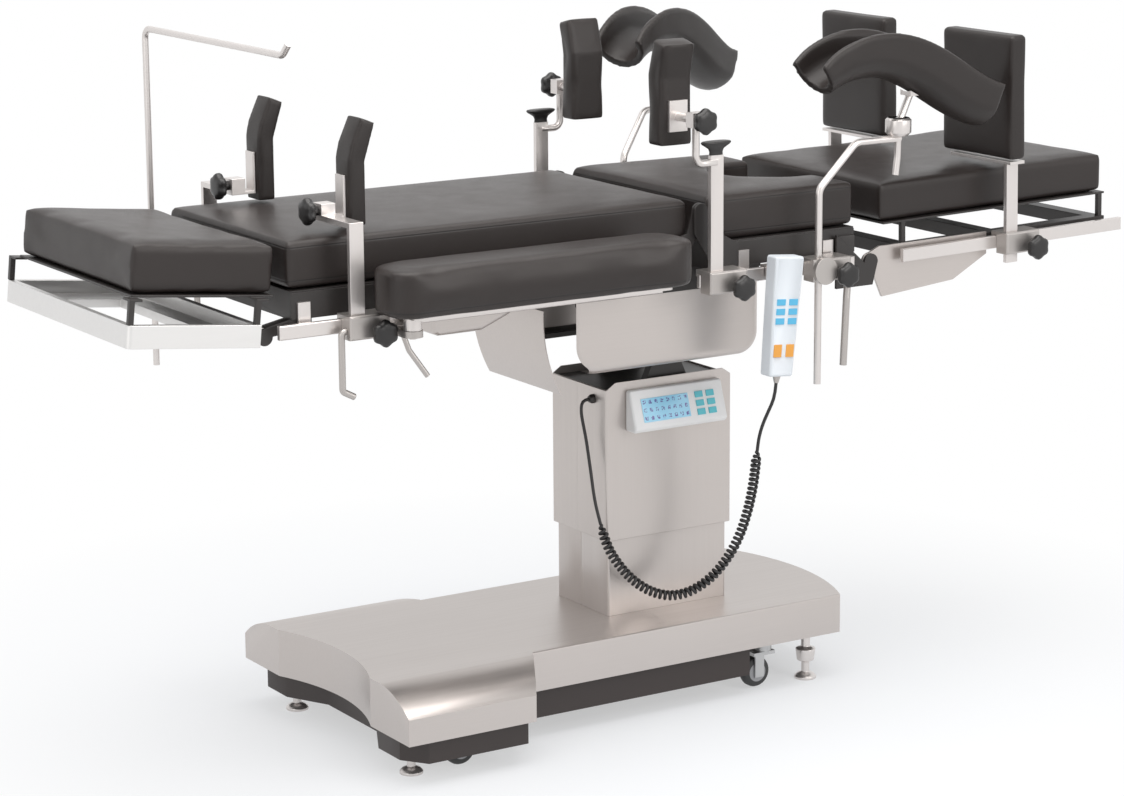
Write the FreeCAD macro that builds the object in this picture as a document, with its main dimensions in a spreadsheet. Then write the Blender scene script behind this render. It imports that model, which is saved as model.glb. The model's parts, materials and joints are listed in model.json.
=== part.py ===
import FreeCAD, Part
import math
import os
import Sketcher

# Operating table on a telescopic column: fixed base with castors, a tilting seat section that
# carries a back, head and leg section, and the clamps and supports that ride on the side rails.
# +X runs to the leg end, -Y is the side with the arm board, +Z is up, the floor is z = 0.

V = FreeCAD.Vector
doc = FreeCAD.newDocument("OperatingTable")
sheet = doc.addObject("Spreadsheet::Sheet", "Sizes")


class Size:
    """A length that carries its number and the sheet expression that gives it."""

    def __init__(self, number, text):
        self.number, self.text = float(number), text

    def _with(self, other, sign, swap=False):
        other = size(other)
        a, b = (other, self) if swap else (self, other)
        text = "(" + a.text + " " + sign + " " + b.text + ")"
        x, y = a.number, b.number
        return Size(x + y if sign == "+" else x - y if sign == "-" else x * y if sign == "*" else x / y,
                    text)

    def __add__(self, other):
        return self._with(other, "+")

    def __radd__(self, other):
        return self._with(other, "+", True)

    def __sub__(self, other):
        return self._with(other, "-")

    def __rsub__(self, other):
        return self._with(other, "-", True)

    def __mul__(self, other):
        return self._with(other, "*")

    def __rmul__(self, other):
        return self._with(other, "*", True)

    def __truediv__(self, other):
        return self._with(other, "/")

    def __neg__(self):
        return Size(-self.number, "(0 - " + self.text + ")")

    def __float__(self):
        return self.number


def size(value):
    return value if isinstance(value, Size) else Size(value, repr(float(value)))


# Driving dimensions in millimetres (angles in degrees).
SIZES = {
    # the frame's origin is under the middle of the whole table, and its midline at this y
    "frame_shift": -60,
    # tabletop
    "top_height": 1009, "cushion_width": 480, "cushion_depth": 88, "leg_cushion_depth": 78,
    "cushion_edge": 12, "panel_thickness": 3, "frame_height": 47, "frame_width": 482,
    "member_width": 31, "seat_left": 91, "seat_length": 354, "back_gap": 30, "back_length": 844,
    "head_gap": 28, "head_length": 274, "leg_gap": 58, "leg_length": 576,
    "cutout_half_width": 110, "cutout_depth": 145,
    "rail_span": 538, "rail_height": 25, "rail_thickness": 10, "rail_drop": 15,
    "standoff_radius": 8, "seat_rail_left": 62, "seat_rail_length": 360,
    "back_rail_right": -20, "back_rail_length": 792, "leg_rail_left": 540, "leg_rail_length": 556,
    # hinges
    "hinge_plate": 5.5, "hinge_clearance": 1, "hinge_eye": 15, "pin_radius": 6, "pin_clearance": 0.1,
    "back_hinge_drop": 24, "head_hinge_x": -826, "head_hinge_z": 846, "leg_hinge_z": 850,
    "head_angle": 6, "leg_angle": 1.2,
    "head_tray_depth": 40, "head_tray_wall": 14, "post_side": 10, "section_plate": 4,
    "ear_inner": 210, "ear_width": 8, "ear_outer": 232, "head_arm_in": 219, "head_arm_width": 12,
    # base
    "cover_wall": 3, "cover_left": -604, "toe_length": 267, "toe_taper": 62, "toe_half_width": 325,
    "spine_half_width": 213, "spine_length": 1043, "bow": 50, "cover_top": 180, "spine_side": 77,
    "lip_top": 138, "lip_height": 50, "shoulder_half_width": 205, "notch_half_width": 182,
    "notch_depth": 38, "skirt_bottom": 43, "skirt_inset": 15, "skirt_right": 272,
    "tray_top": 150, "tray_bottom": 110, "castor_top": 98,
    "foot_radius": 22, "foot_left_x": -545, "foot_left_y": 225, "foot_right_x": 398, "foot_right_y": 155,
    "chassis_wall": 12, "rib_y": 95, "battery_length": 150, "battery_width": 150, "battery_height": 70,
    "motor_length": 130, "motor_radius": 34, "motor_y": 40,
    "castor_left_x": -430, "castor_left_y": 235, "castor_right_x": 296, "castor_right_y": 150,
    "wheel_radius": 31, "wheel_width": 24, "wheel_lift": 3, "castor_trail": 20, "castor_pin": 7,
    # column
    "column_x": 109, "lower_length": 276, "lower_width": 182, "sleeve_wall": 3, "sleeve_clearance": 4,
    "lower_top": 470, "upper_bottom": 332, "upper_top": 642, "sleeve_corner": 5, "column_seam": 5,
    "top_chamfer": 14, "head_plate_drop": 15, "head_plate": 12,
    "cylinder_radius": 45, "ram_radius": 30, "ram_bottom": 345, "ram_clearance": 0.3,
    "panel_width": 214, "panel_height": 80, "panel_face_lean": 24, "panel_top": 625, "panel_shift": 6,
    "gland_y": 52, "gland_z": 606,
    # tilt mechanism
    "pivot_z": 790, "shaft_radius": 20, "trunnion_radius": 18, "running_gap": 0.1,
    "upright_half": 30, "upright_inner": 70, "upright_thickness": 18, "block_half": 38,
    "lug_half": 38, "lug_thickness": 18, "lug_reach": 131, "shroud_radius": 305,
    "shroud_thickness": 2.5, "shroud_half_width": 130,
    "tub_left": -169, "tub_length": 425, "tub_half_width": 192, "tub_bottom": 686, "tub_height": 140,
    "tub_wall": 2.5, "tub_left_round": 58, "tub_right_round": 44, "tub_roll": 18, "tub_lip": 150,
    "tub_end_return": 132, "beam_width": 30, "beam_height": 29,
    "housing_left": -446, "housing_length": 214, "housing_depth": 84, "housing_half": 150,
    # accessories
    "clamp_width": 44, "clamp_depth": 34, "clamp_height": 43, "jaw_clearance": 0.3,
    "knob_radius": 25, "slide_clearance": 0.4,
    "support_bar_width": 28, "support_bar_depth": 10, "shoulder_x": -671, "shoulder_arm_z": 1034,
    "support_near_x": 85, "support_far_x": 60, "support_arm_z": 1100, "support_side": 45,
    "foot_board_x": 772, "foot_board_width": 220, "foot_board_height": 250, "foot_board_depth": 40,
    "foot_board_bottom": 1025,
    "rod_radius": 7, "screen_radius": 6, "screen_x": -790, "screen_top": 1332,
    "crutch_x": 322, "crutch_far_x": 256, "crutch_far_turn": 28, "ball_radius": 15, "ball_clearance": 0.06,
    "cup_radius": 25, "crutch_rise": 235, "crutch_reach": 186, "stem_lean": 25,
    "arm_length": 633, "arm_width": 127, "arm_depth": 86, "arm_end_round": 48, "arm_inner_y": 278,
    "arm_top": 964, "arm_left": -655, "arm_plate": 6, "arm_boss": 18,
    "pendant_width": 66, "pendant_height": 228, "pendant_depth": 30, "pendant_x": 224,
    "pendant_top": 896, "pendant_lean": 5, "cord_radius": 3.2, "curl_radius": 11,
}


class Named:
    """The driving dimensions as attributes, each one a cell of the sheet."""

    def __init__(self, table):
        for row, (alias, value) in enumerate(table.items(), 1):
            sheet.set("A%d" % row, alias)
            sheet.set("B%d" % row, str(value))
            sheet.setAlias("B%d" % row, alias)
            setattr(self, alias, Size(value, "Sizes." + alias))


d = Named(SIZES)
doc.recompute()
nodes = {}
counter = [0]


def fresh(kind):
    counter[0] += 1
    return doc.addObject(kind, "Item%d" % counter[0])


def bind(obj, prop, value):
    obj.setExpression(prop, size(value).text)


def place(obj, x, y, z, axis="z"):
    """Stand an object made along +Z at a point, turned so that it runs along axis."""
    turn = {"z": FreeCAD.Rotation(), "x": FreeCAD.Rotation(V(0, 1, 0), 90),
            "y": FreeCAD.Rotation(V(1, 0, 0), -90)}[axis]
    obj.Placement = FreeCAD.Placement(V(float(x), float(y), float(z)), turn)
    for name, value in (("x", x), ("y", y), ("z", z)):
        bind(obj, "Placement.Base." + name, value)
    return obj


def box(x, y, z):
    """A block between two values on each axis."""
    block = fresh("Part::Box")
    bind(block, "Length", x[1] - x[0])
    bind(block, "Width", y[1] - y[0])
    bind(block, "Height", z[1] - z[0])
    return place(block, x[0], y[0], z[0])


def rod(start, axis, length, radius):
    bar = fresh("Part::Cylinder")
    bind(bar, "Radius", radius)
    bind(bar, "Height", length)
    return place(bar, *start, axis=axis)


def fuse(*objects):
    joined = fresh("Part::MultiFuse")
    joined.Shapes = list(objects)
    joined.Refine = True
    return joined


def cut(base, *tools):
    result = fresh("Part::Cut")
    result.Base = base
    result.Tool = tools[0] if len(tools) == 1 else fuse(*tools)
    return result


def mirrored(obj):
    """The same piece on the other side of the table."""
    twin = fresh("Part::Mirroring")
    twin.Source = obj
    twin.Normal = (0, 1, 0)
    return twin


def both(obj):
    return [obj, mirrored(obj)]


def node(label, *objects, turn=None):
    """Register a sub-part; turn = (x, z, degrees) rests it turned about a lateral hinge."""
    whole = fresh("Part::Compound")
    whole.Links = list(objects)
    whole.Label = label
    if turn:
        centre = V(float(turn[0]), 0, float(turn[1]))
        spin = FreeCAD.Rotation(V(0, 1, 0), float(turn[2]))
        whole.Placement = FreeCAD.Placement(centre - spin.multVec(centre), spin)
    bind(whole, "Placement.Base.y", d.frame_shift)
    nodes[label] = whole
    return whole


def sketch_on(body, plane, offset):
    role = {"XY": "XY_Plane", "XZ": "XZ_Plane", "YZ": "YZ_Plane"}[plane]
    sketch = body.newObject("Sketcher::SketchObject", "Outline")
    support = [f for f in body.Origin.OriginFeatures if f.Role == role][0]
    sketch.AttachmentSupport = [(support, "")]
    sketch.MapMode = "FlatFace"
    bind(sketch, "AttachmentOffset.Base.z", offset)
    return sketch


def draw(sketch, points):
    """Closed outline; a third value on a point is the signed radius of the arc to the next."""
    count = len(points)
    ends = []
    for i in range(count):
        here, there = points[i], points[(i + 1) % count]
        a, b = V(float(here[0]), float(here[1]), 0), V(float(there[0]), float(there[1]), 0)
        if len(here) > 2:
            radius = abs(float(here[2]))
            side = 1 if float(here[2]) > 0 else -1
            chord = b - a
            rise = math.sqrt(max(radius ** 2 - chord.Length ** 2 / 4, 0))
            normal = V(-chord.y, chord.x, 0).normalize() * side
            middle = (a + b) / 2 + normal * (rise - radius)
            sketch.addGeometry(Part.Arc(a, middle, b), False)
            ends.append((1, 2) if side > 0 else (2, 1))
        else:
            sketch.addGeometry(Part.LineSegment(a, b), False)
            ends.append((1, 2))
    rules = []
    for i in range(count):
        rules.append(Sketcher.Constraint("Coincident", i, ends[i][1], (i + 1) % count,
                                         ends[(i + 1) % count][0]))
    sketch.addConstraint(rules)
    for i, point in enumerate(points):
        for kind, value in (("DistanceX", point[0]), ("DistanceY", point[1])):
            index = sketch.addConstraint(Sketcher.Constraint(kind, -1, 1, i, ends[i][0], float(value)))
            if isinstance(value, Size):
                sketch.setExpression("Constraints[%d]" % index, value.text)
        if len(point) > 2:
            there = points[(i + 1) % count]
            run = (abs(float(there[0]) - float(point[0])), abs(float(there[1]) - float(point[1])))
            radius = point[2] if float(point[2]) > 0 else -point[2]
            if abs(math.hypot(*run) - 2 * float(radius)) < 1e-6:
                # a half circle: its centre is held at the middle of the chord
                axis = 0 if run[0] < run[1] else 1
                value = (size(point[axis]) + there[axis]) / 2
                kind = ("DistanceX", "DistanceY")[axis]
                index = sketch.addConstraint(Sketcher.Constraint(kind, -1, 1, i, 3, float(value)))
                sketch.setExpression("Constraints[%d]" % index, value.text)
                continue
            index = sketch.addConstraint(Sketcher.Constraint("Radius", i, float(radius)))
            if isinstance(radius, Size):
                sketch.setExpression("Constraints[%d]" % index, radius.text)


def ring(sketch, centre, radius):
    sketch.addGeometry(Part.Circle(V(float(centre[0]), float(centre[1]), 0), V(0, 0, 1), float(radius)),
                       False)
    for kind, value in (("DistanceX", centre[0]), ("DistanceY", centre[1])):
        index = sketch.addConstraint(Sketcher.Constraint(kind, -1, 1, 0, 3, float(value)))
        bind(sketch, "Constraints[%d]" % index, value)
    index = sketch.addConstraint(Sketcher.Constraint("Radius", 0, float(radius)))
    bind(sketch, "Constraints[%d]" % index, radius)


def swept(body, kind, plane, shape, low, high):
    """Pad or pocket of an outline, or of a (centre, radius) circle, between low and high."""
    adds = kind == "Pad"
    if plane == "XZ":
        offset = -high if adds else -low
    else:
        offset = low if adds else high
    sketch = sketch_on(body, plane, size(offset))
    if len(shape) == 2 and not isinstance(shape[1], tuple):
        ring(sketch, *shape)
    else:
        draw(sketch, shape)
    feature = body.newObject("PartDesign::" + kind, kind)
    feature.Profile = sketch
    bind(feature, "Length", size(high) - low)
    return body


def prism(plane, outline, low, high):
    return swept(fresh("PartDesign::Body"), "Pad", plane, outline, low, high)


def pocket(body, plane, outline, low, high):
    return swept(body, "Pocket", plane, outline, low, high)


def pad(body, plane, outline, low, high):
    return swept(body, "Pad", plane, outline, low, high)


def rectangle(a, b):
    return [(a[0], b[0]), (a[1], b[0]), (a[1], b[1]), (a[0], b[1])]


def along(edge, axis):
    """True for a straight edge that runs parallel to an axis."""
    if edge.Curve.TypeId != "Part::GeomLine":
        return False
    direction = edge.tangentAt(edge.FirstParameter)
    return abs(getattr(direction, axis)) > 0.999


def soften(body, kind, amount, wanted):
    """Fillet or chamfer the edges for which wanted(edge, midpoint) holds."""
    doc.recompute()
    base = body.Tip
    names = ["Edge%d" % (i + 1) for i, edge in enumerate(base.Shape.Edges)
             if wanted(edge, edge.valueAt((edge.FirstParameter + edge.LastParameter) / 2))]
    feature = body.newObject("PartDesign::" + kind, kind)
    feature.Base = (base, names)
    bind(feature, "Radius" if kind == "Fillet" else "Size", amount)
    return body


def revolved(profile):
    """A turned piece along +Z from (radius, height) points."""
    body = fresh("PartDesign::Body")
    sketch = sketch_on(body, "XZ", 0)
    draw(sketch, profile)
    feature = body.newObject("PartDesign::Revolution", "Revolution")
    feature.Profile = sketch
    feature.ReferenceAxis = (sketch, ["V_Axis"])
    feature.Angle = 360
    return body


def bent_wire(points, radii):
    """Straight runs joined by tangent arcs; radii has one value for each inner point."""
    edges, at = [], points[0]
    for i in range(1, len(points) - 1):
        before = (points[i - 1] - points[i]).normalize()
        after = (points[i + 1] - points[i]).normalize()
        half = before.getAngle(after) / 2
        reach = radii[i - 1] / math.tan(half)
        start, end = points[i] + before * reach, points[i] + after * reach
        inward = (before + after).normalize()
        middle = points[i] + inward * (radii[i - 1] / math.sin(half) - radii[i - 1])
        edges += [Part.LineSegment(at, start).toShape(), Part.Arc(start, middle, end).toShape()]
        at = end
    edges.append(Part.LineSegment(at, points[-1]).toShape())
    return Part.Wire(edges)


def bent_rod(points, radius, bend):
    """A round rod through points, each corner bent to the same radius."""
    points = [V(*[float(c) for c in p]) for p in points]
    wire = bent_wire(points, [float(bend)] * (len(points) - 2))
    section = Part.Wire(Part.Circle(points[0], points[1] - points[0], float(radius)).toShape())
    feature = fresh("Part::Feature")
    feature.Shape = wire.makePipeShell([section], True, False)
    return feature


# Levels and lines that many pieces share.
half_cushion = d.cushion_width / 2
frame_side = d.frame_width / 2
cushion_base = d.top_height - d.cushion_depth
panel_base = cushion_base - d.panel_thickness
frame_base = panel_base - d.frame_height
rail_z = frame_base - d.rail_drop
rail_face = d.rail_span / 2
rail_back = rail_face - d.rail_thickness
seat_right = d.seat_left + d.seat_length
back_right = d.seat_left - d.back_gap
back_left = back_right - d.back_length
head_right = back_left - d.head_gap
head_left = head_right - d.head_length
leg_left = seat_right + d.leg_gap
leg_right = leg_left + d.leg_length
back_hinge_x = d.seat_left - d.back_gap / 2
back_hinge_z = d.top_height - d.back_hinge_drop
leg_hinge_x = seat_right + d.leg_gap / 2
head_turn = (d.head_hinge_x, d.head_hinge_z, d.head_angle)
leg_turn = (leg_hinge_x, d.leg_hinge_z, -d.leg_angle)
back_frame_right = back_right - 16
seat_frame_left = d.seat_left + 5
seat_frame_right = seat_right - 5
leg_frame_left = leg_left + 12
leg_frame_right = leg_right - 4
plate_in = frame_side
plate_gap = frame_side + d.hinge_plate + d.hinge_clearance
plate_out = plate_gap + d.hinge_plate


def base_form(wall):
    """Outer form of the base cover, or with a wall its inner form, as one solid."""
    top = d.cover_top - wall
    left, right = d.cover_left + wall, d.cover_left + d.spine_length - wall
    half = d.spine_half_width - wall
    low = d.cover_top - d.spine_side - wall * 2
    bow_radius = (half * half + d.bow * d.bow) / (d.bow * 2)
    body = prism("XY", [(left, -half), (right, -half, bow_radius), (right, half), (left, half)], low, top)
    toe, shoulder = d.toe_half_width - wall, d.shoulder_half_width - wall
    toe_low = d.lip_top - d.lip_height - wall * 2
    lip = d.lip_top - wall
    pad(body, "YZ", [(-toe, toe_low), (toe, toe_low), (toe, lip, 170), (shoulder, top),
                     (-shoulder, top, 170), (-toe, lip)], left, left + d.toe_length + d.toe_taper)
    taper_left = d.cover_left + d.toe_length - wall
    taper_right = taper_left + d.toe_taper
    for side in (-1, 1):
        inner, outer = size(half) * side, (toe + 10) * side
        pocket(body, "XY", [(taper_right, inner), (taper_right + 20, inner), (taper_right + 20, outer),
                            (taper_left - 5, outer)], toe_low - 5, top + 5)
    notch = d.notch_half_width + wall
    notch_radius = (notch * notch + d.notch_depth * d.notch_depth) / (d.notch_depth * 2)
    pocket(body, "XY", [(left - 8, -notch), (left, -notch, notch_radius), (left, notch), (left - 8, notch)],
           toe_low - 5, top + 5)
    return body


def base():
    shell = base_form(size(0))
    soften(shell, "Fillet", 3.5, lambda e, p: abs(p.z - float(d.cover_top)) < 0.01
           and abs(p.y) > float(d.spine_half_width) - 1)
    node("base_cover", cut(shell, base_form(d.cover_wall)))

    # Welded chassis: a spine box and two toe boxes, closed by a deck above and open below for the castors.
    inset, wall = d.skirt_inset, d.chassis_wall
    left = d.cover_left + inset
    spine_left, spine_right = left + d.notch_depth + 6, d.skirt_right
    toe_right = d.cover_left + d.toe_length - 8
    toe, spine, rib = d.toe_half_width - inset, d.spine_half_width - inset - 6, d.rib_y
    block = prism("XY", rectangle((spine_left, spine_right), (-spine, spine)), d.skirt_bottom, d.tray_top)
    for side in (-1, 1):
        pad(block, "XY", [(spine_left, rib * side), (toe_right, rib * side), (toe_right, toe * side),
                          (left + 34, toe * side), (left, (toe - 48) * side), (left,
                                                                               d.notch_half_width * side)],
            d.skirt_bottom, d.tray_bottom)
        pocket(block, "XY", [(spine_left + wall, (rib + wall) * side),
                             (toe_right - wall, (rib + wall) * side),
                             (toe_right - wall, (toe - wall) * side), (left + 40, (toe - wall) * side),
                             (left + wall, (toe - 53) * side), (left + wall,
                                                                (d.notch_half_width + 3) * side)],
               d.skirt_bottom - 1, d.castor_top)
    pocket(block, "XY", rectangle((spine_left + wall, toe_right - wall), (-rib, rib)), d.skirt_bottom - 1,
           d.tray_top - wall)
    bay_top = d.tray_top - wall
    pocket(block, "XY", rectangle((toe_right + wall, spine_right - wall), (-spine + wall, spine - wall)),
           d.skirt_bottom - 1, bay_top)
    right = d.cover_left + d.spine_length - inset
    pad(block, "XY", rectangle((spine_right, right), (-spine, spine)), d.tray_bottom, d.tray_top)
    reach = d.wheel_radius + d.castor_trail + 9
    for side in (-1, 1):
        low, high = sorted_pair((d.castor_right_y - reach) * side, (d.castor_right_y + reach) * side)
        pocket(block, "XY", rectangle((d.castor_right_x - reach, spine_right + 1), (low, high)),
               d.skirt_bottom - 1,
               d.castor_top)
        pad(block, "XY", ((d.castor_right_x, d.castor_right_y * side), size(22)), d.castor_top,
            d.tray_bottom + 1)
        for x, y in ((d.castor_left_x, d.castor_left_y), (d.castor_right_x, d.castor_right_y)):
            pocket(block, "XY", ((x, y * side), d.castor_pin + d.running_gap), d.castor_top - 1,
                   d.tray_top - 8)
    # the pedestal that carries the column, up to the cover's inner face
    half_length, half_width = d.lower_length / 2, d.lower_width / 2
    pad(block, "XY", rectangle((d.column_x - half_length, d.column_x + half_length),
                               (-half_width, half_width)),
        d.tray_top - 1, d.cover_top - d.cover_wall)
    node("base_chassis", block)

    # Battery, pump and motor hang from the deck in the spine's bay.
    first = toe_right + wall + 12
    pump_x = first + d.battery_length + 25
    battery = box((first, first + d.battery_length), (-d.battery_width - 15, -15),
                  (bay_top - d.battery_height, bay_top))
    pump = fuse(box((pump_x, pump_x + 90), (d.motor_y - 50, d.motor_y + 50), (bay_top - 64, bay_top)),
                rod((pump_x - d.motor_length, d.motor_y, bay_top - 36), "x", d.motor_length + 1,
                    d.motor_radius))
    node("drive_unit", battery, pump)

    feet = []
    for x, y, top in ((d.foot_left_x, d.foot_left_y, d.castor_top),
                      (d.foot_right_x, d.foot_right_y, d.tray_bottom)):
        for side in (-1, 1):
            foot = revolved([(0, 0), (d.foot_radius, 0), (d.foot_radius, 5), (d.foot_radius - 5, 10),
                             (8, 14), (8, 34), (17, 38), (20, 62), (9, 66), (9, top), (0, top)])
            feet.append(place(foot, x, y * side, 0))
    node("levelling_feet", *feet)


def castors():
    """Four swivel castors; the stem turns in the chassis, the wheel on its axle."""
    spots = ((d.castor_left_x, -d.castor_left_y), (d.castor_left_x, d.castor_left_y),
             (d.castor_right_x, -d.castor_right_y), (d.castor_right_x, d.castor_right_y))
    for number, (x, y) in enumerate(spots, 1):
        axle_x, axle_z = x - d.castor_trail, d.wheel_radius + d.wheel_lift
        cheek = d.wheel_width / 2 + 1.5
        bridge = axle_z + d.wheel_radius + 3
        fork = fuse(
            box((x - d.castor_trail - 12, x + 18), (y - cheek - 4, y + cheek + 4), (bridge, bridge + 7)),
            box((axle_x - 9, axle_x + 12), (y - cheek - 4, y - cheek), (axle_z - 9, bridge + 1)),
            box((axle_x - 9, axle_x + 12), (y + cheek, y + cheek + 4), (axle_z - 9, bridge + 1)),
            rod((axle_x, y - cheek - 4, axle_z), "y", cheek * 2 + 8, 4),
            rod((x, y, bridge + 6), "z", d.castor_top - 0.5 - bridge - 6, 18),
            rod((x, y, bridge + 6), "z", d.tray_top - 20 - bridge - 6, d.castor_pin))
        node("caster_fork_%d" % number, fork)
        half = d.wheel_width / 2
        bore = 4 + d.running_gap
        tyre = revolved([(bore, -half), (d.wheel_radius - 7, -half), (d.wheel_radius - 2, -half + 3),
                         (d.wheel_radius, -half + 8), (d.wheel_radius, half - 8),
                         (d.wheel_radius - 2, half - 3), (d.wheel_radius - 7, half), (bore, half)])
        node("caster_wheel_%d" % number, place(tyre, axle_x, y, axle_z, "y"))


def shell_half(x_half, y_from, y_to, wall, low, high):
    """One of the two folded sheets of a sleeve, open towards y_from."""
    left, right = d.column_x - x_half, d.column_x + x_half
    inner = y_to - wall if float(y_to) > float(y_from) else y_to + wall
    return prism("XY", [(left, y_from), (left, y_to), (right, y_to), (right, y_from),
                        (right - wall, y_from),
                        (right - wall, inner), (left + wall, inner), (left + wall, y_from)], low, high)


def column():
    lower_x, lower_y = d.lower_length / 2, d.lower_width / 2
    wall = d.sleeve_wall
    tube = prism("XY", rectangle((d.column_x - lower_x, d.column_x + lower_x), (-lower_y, lower_y)),
                 d.cover_top, d.lower_top)
    soften(tube, "Fillet", d.sleeve_corner, lambda e, p: along(e, "z"))
    pocket(tube, "XY", rectangle((d.column_x - lower_x + wall, d.column_x + lower_x - wall),
                                 (-lower_y + wall, lower_y - wall)), d.cover_top - 1, d.lower_top + 1)
    for side in (-1, 1):
        face = d.column_x + lower_x * side
        edges = (face - 0.8, face + 1) if side > 0 else (face - 1, face + 0.8)
        pocket(tube, "XY", rectangle(edges, (d.column_seam - 1, d.column_seam + 1)),
               d.cover_top - 1, d.lower_top + 1)
    node("column_lower_sleeve", tube)

    upper_x, upper_y = lower_x + d.sleeve_clearance + wall, lower_y + d.sleeve_clearance + wall
    rear = shell_half(upper_x, d.column_seam, upper_y, wall, d.upper_bottom, d.upper_top)
    front = shell_half(upper_x, d.column_seam, -upper_y, wall, d.upper_bottom, d.upper_top)
    for body, outer in ((rear, upper_y), (front, -upper_y)):
        for side in (-1, 1):
            corner = d.column_x + upper_x * side
            pocket(body, "XZ", [(corner + side, d.upper_top + 1),
                                (corner + side, d.upper_top - d.top_chamfer),
                                (corner - d.top_chamfer * side * 1.6, d.upper_top + 1)],
                   -upper_y - 1, upper_y + 1)
        soften(body, "Fillet", d.sleeve_corner, lambda e, p, outer=outer: along(e, "z")
               and abs(p.y - float(outer)) < 0.01)
    node("column_upper_sleeve", rear)
    gland = revolved([(0, 0), (9, 0), (9, 4), (6, 10), (0, 10)])
    gland.Placement = FreeCAD.Placement(V(float(d.column_x - upper_x), -float(d.gland_y), float(d.gland_z)),
                                        FreeCAD.Rotation(V(0, 1, 0), -90))
    node("column_front_cover", front, gland)

    # Lifting cylinder inside the sleeves and the ram that carries the column head.
    bore = d.ram_radius + d.ram_clearance
    rim = d.lower_top - d.cover_top
    node("lift_cylinder", revolve_at([(0, 0), (70, 0), (70, 10), (d.cylinder_radius, 10),
                                      (d.cylinder_radius, rim), (bore, rim), (bore, 14), (0, 14)],
                                     d.column_x, 0, d.cover_top))

    # Column head: a plate between the sleeves with two uprights that hold the tilt shaft.
    plate_low = d.upper_top - d.head_plate_drop - d.head_plate
    inner_x, inner_y = upper_x - wall, upper_y - wall
    head = prism("XY", rectangle((d.column_x - inner_x + 0.2, d.column_x + inner_x - 0.2),
                                 (-inner_y + 0.2, inner_y - 0.2)), plate_low, plate_low + d.head_plate)
    pad(head, "XY", ((d.column_x, 0), d.ram_radius), d.ram_bottom, plate_low)
    half, top = d.upright_half, d.pivot_z
    for side in (-1, 1):
        near, far = d.upright_inner * side, (d.upright_inner + d.upright_thickness) * side
        low, high = (near, far) if side > 0 else (far, near)
        pad(head, "XZ", [(d.column_x - half - 22, plate_low + d.head_plate),
                         (d.column_x + half + 22, plate_low + d.head_plate),
                         (d.column_x + half, plate_low + 60), (d.column_x + half, top, half),
                         (d.column_x - half, top), (d.column_x - half, plate_low + 60)], low, high)
        pocket(head, "XZ", ((d.column_x, top), d.shaft_radius + d.running_gap), low, high)
    node("column_head", head)

    # Control panel on the front cover: its face leans back towards the top.
    face = -upper_y
    left = d.column_x - d.panel_width / 2 + d.panel_shift
    right = left + d.panel_width
    low = d.panel_top - d.panel_height
    case = prism("YZ", [(face, low), (face, d.panel_top), (face - 12, d.panel_top),
                        (face - 12 - d.panel_face_lean, low + 8), (face - 6 - d.panel_face_lean,
                                                                   low)], left, right)
    soften(case, "Fillet", 5, lambda e, p: along(e, "x") is False and abs(p.y - float(face)) > 4
           and (abs(p.x - float(left)) < 0.01 or abs(p.x - float(right)) < 0.01))
    node("control_panel", case)


def revolve_at(profile, x, y, z, axis="z"):
    return place(revolved(profile), x, y, z, axis)


def tilt():
    """Cardan block between the column head (lateral shaft) and the seat (lengthwise trunnions)."""
    x, z, half = d.column_x, d.pivot_z, d.block_half
    shaft = d.upright_inner + d.upright_thickness + 4
    reach = d.lug_reach + 4
    block = prism("XZ", rectangle((x - half, x + half), (z - half, z + half)), -d.upright_inner + 8,
                  d.upright_inner - 8)
    soften(block, "Chamfer", 6, lambda e, p: along(e, "y"))
    pad(block, "XZ", ((x, z), d.shaft_radius), -shaft, shaft)
    pad(block, "YZ", ((0, z), d.trunnion_radius), x - reach, x + reach)
    arm_top = z - d.lug_half - 14
    pad(block, "XZ", rectangle((x - half, x - half + 14), (arm_top - 10, z)), -25, 25)
    shroud_left = x - d.shroud_radius
    pad(block, "XZ", rectangle((shroud_left + 9, x - half + 14), (arm_top - 10, arm_top)), -25, 25)
    node("tilt_yoke", block)
    radius = d.shroud_radius
    first, last = math.radians(177), math.radians(209)
    outer, inner = float(radius), float(radius - d.shroud_thickness)
    ends = [V(float(x) + r * math.cos(a), 0, float(z) + r * math.sin(a))
            for r in (outer, inner) for a in (first, (first + last) / 2, last)]
    sheet_face = Part.Face(Part.Wire([
        Part.Arc(ends[0], ends[1], ends[2]).toShape(), Part.LineSegment(ends[2], ends[5]).toShape(),
        Part.Arc(ends[5], ends[4], ends[3]).toShape(), Part.LineSegment(ends[3], ends[0]).toShape()]))
    half_width = float(d.shroud_half_width)
    shroud = fresh("Part::Feature")
    shroud.Shape = sheet_face.extrude(V(0, 2 * half_width, 0))
    shroud.Placement = FreeCAD.Placement(V(0, -half_width, 0), FreeCAD.Rotation())
    node("tilt_shroud", shroud)


def frame_ring(left, right, low, high, members=()):
    """Rectangular frame of channel members with cross members at the given x."""
    ring_body = prism("XY", rectangle((left, right), (-frame_side, frame_side)), low, high)
    stops = [left] + list(members) + [right - d.member_width]
    for a, b in zip(stops, stops[1:]):
        pocket(ring_body, "XY", rectangle((a + d.member_width, b), (-frame_side + d.member_width,
                                                                    frame_side - d.member_width)), low - 1,
                                                                    high + 1)
    return ring_body


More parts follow.
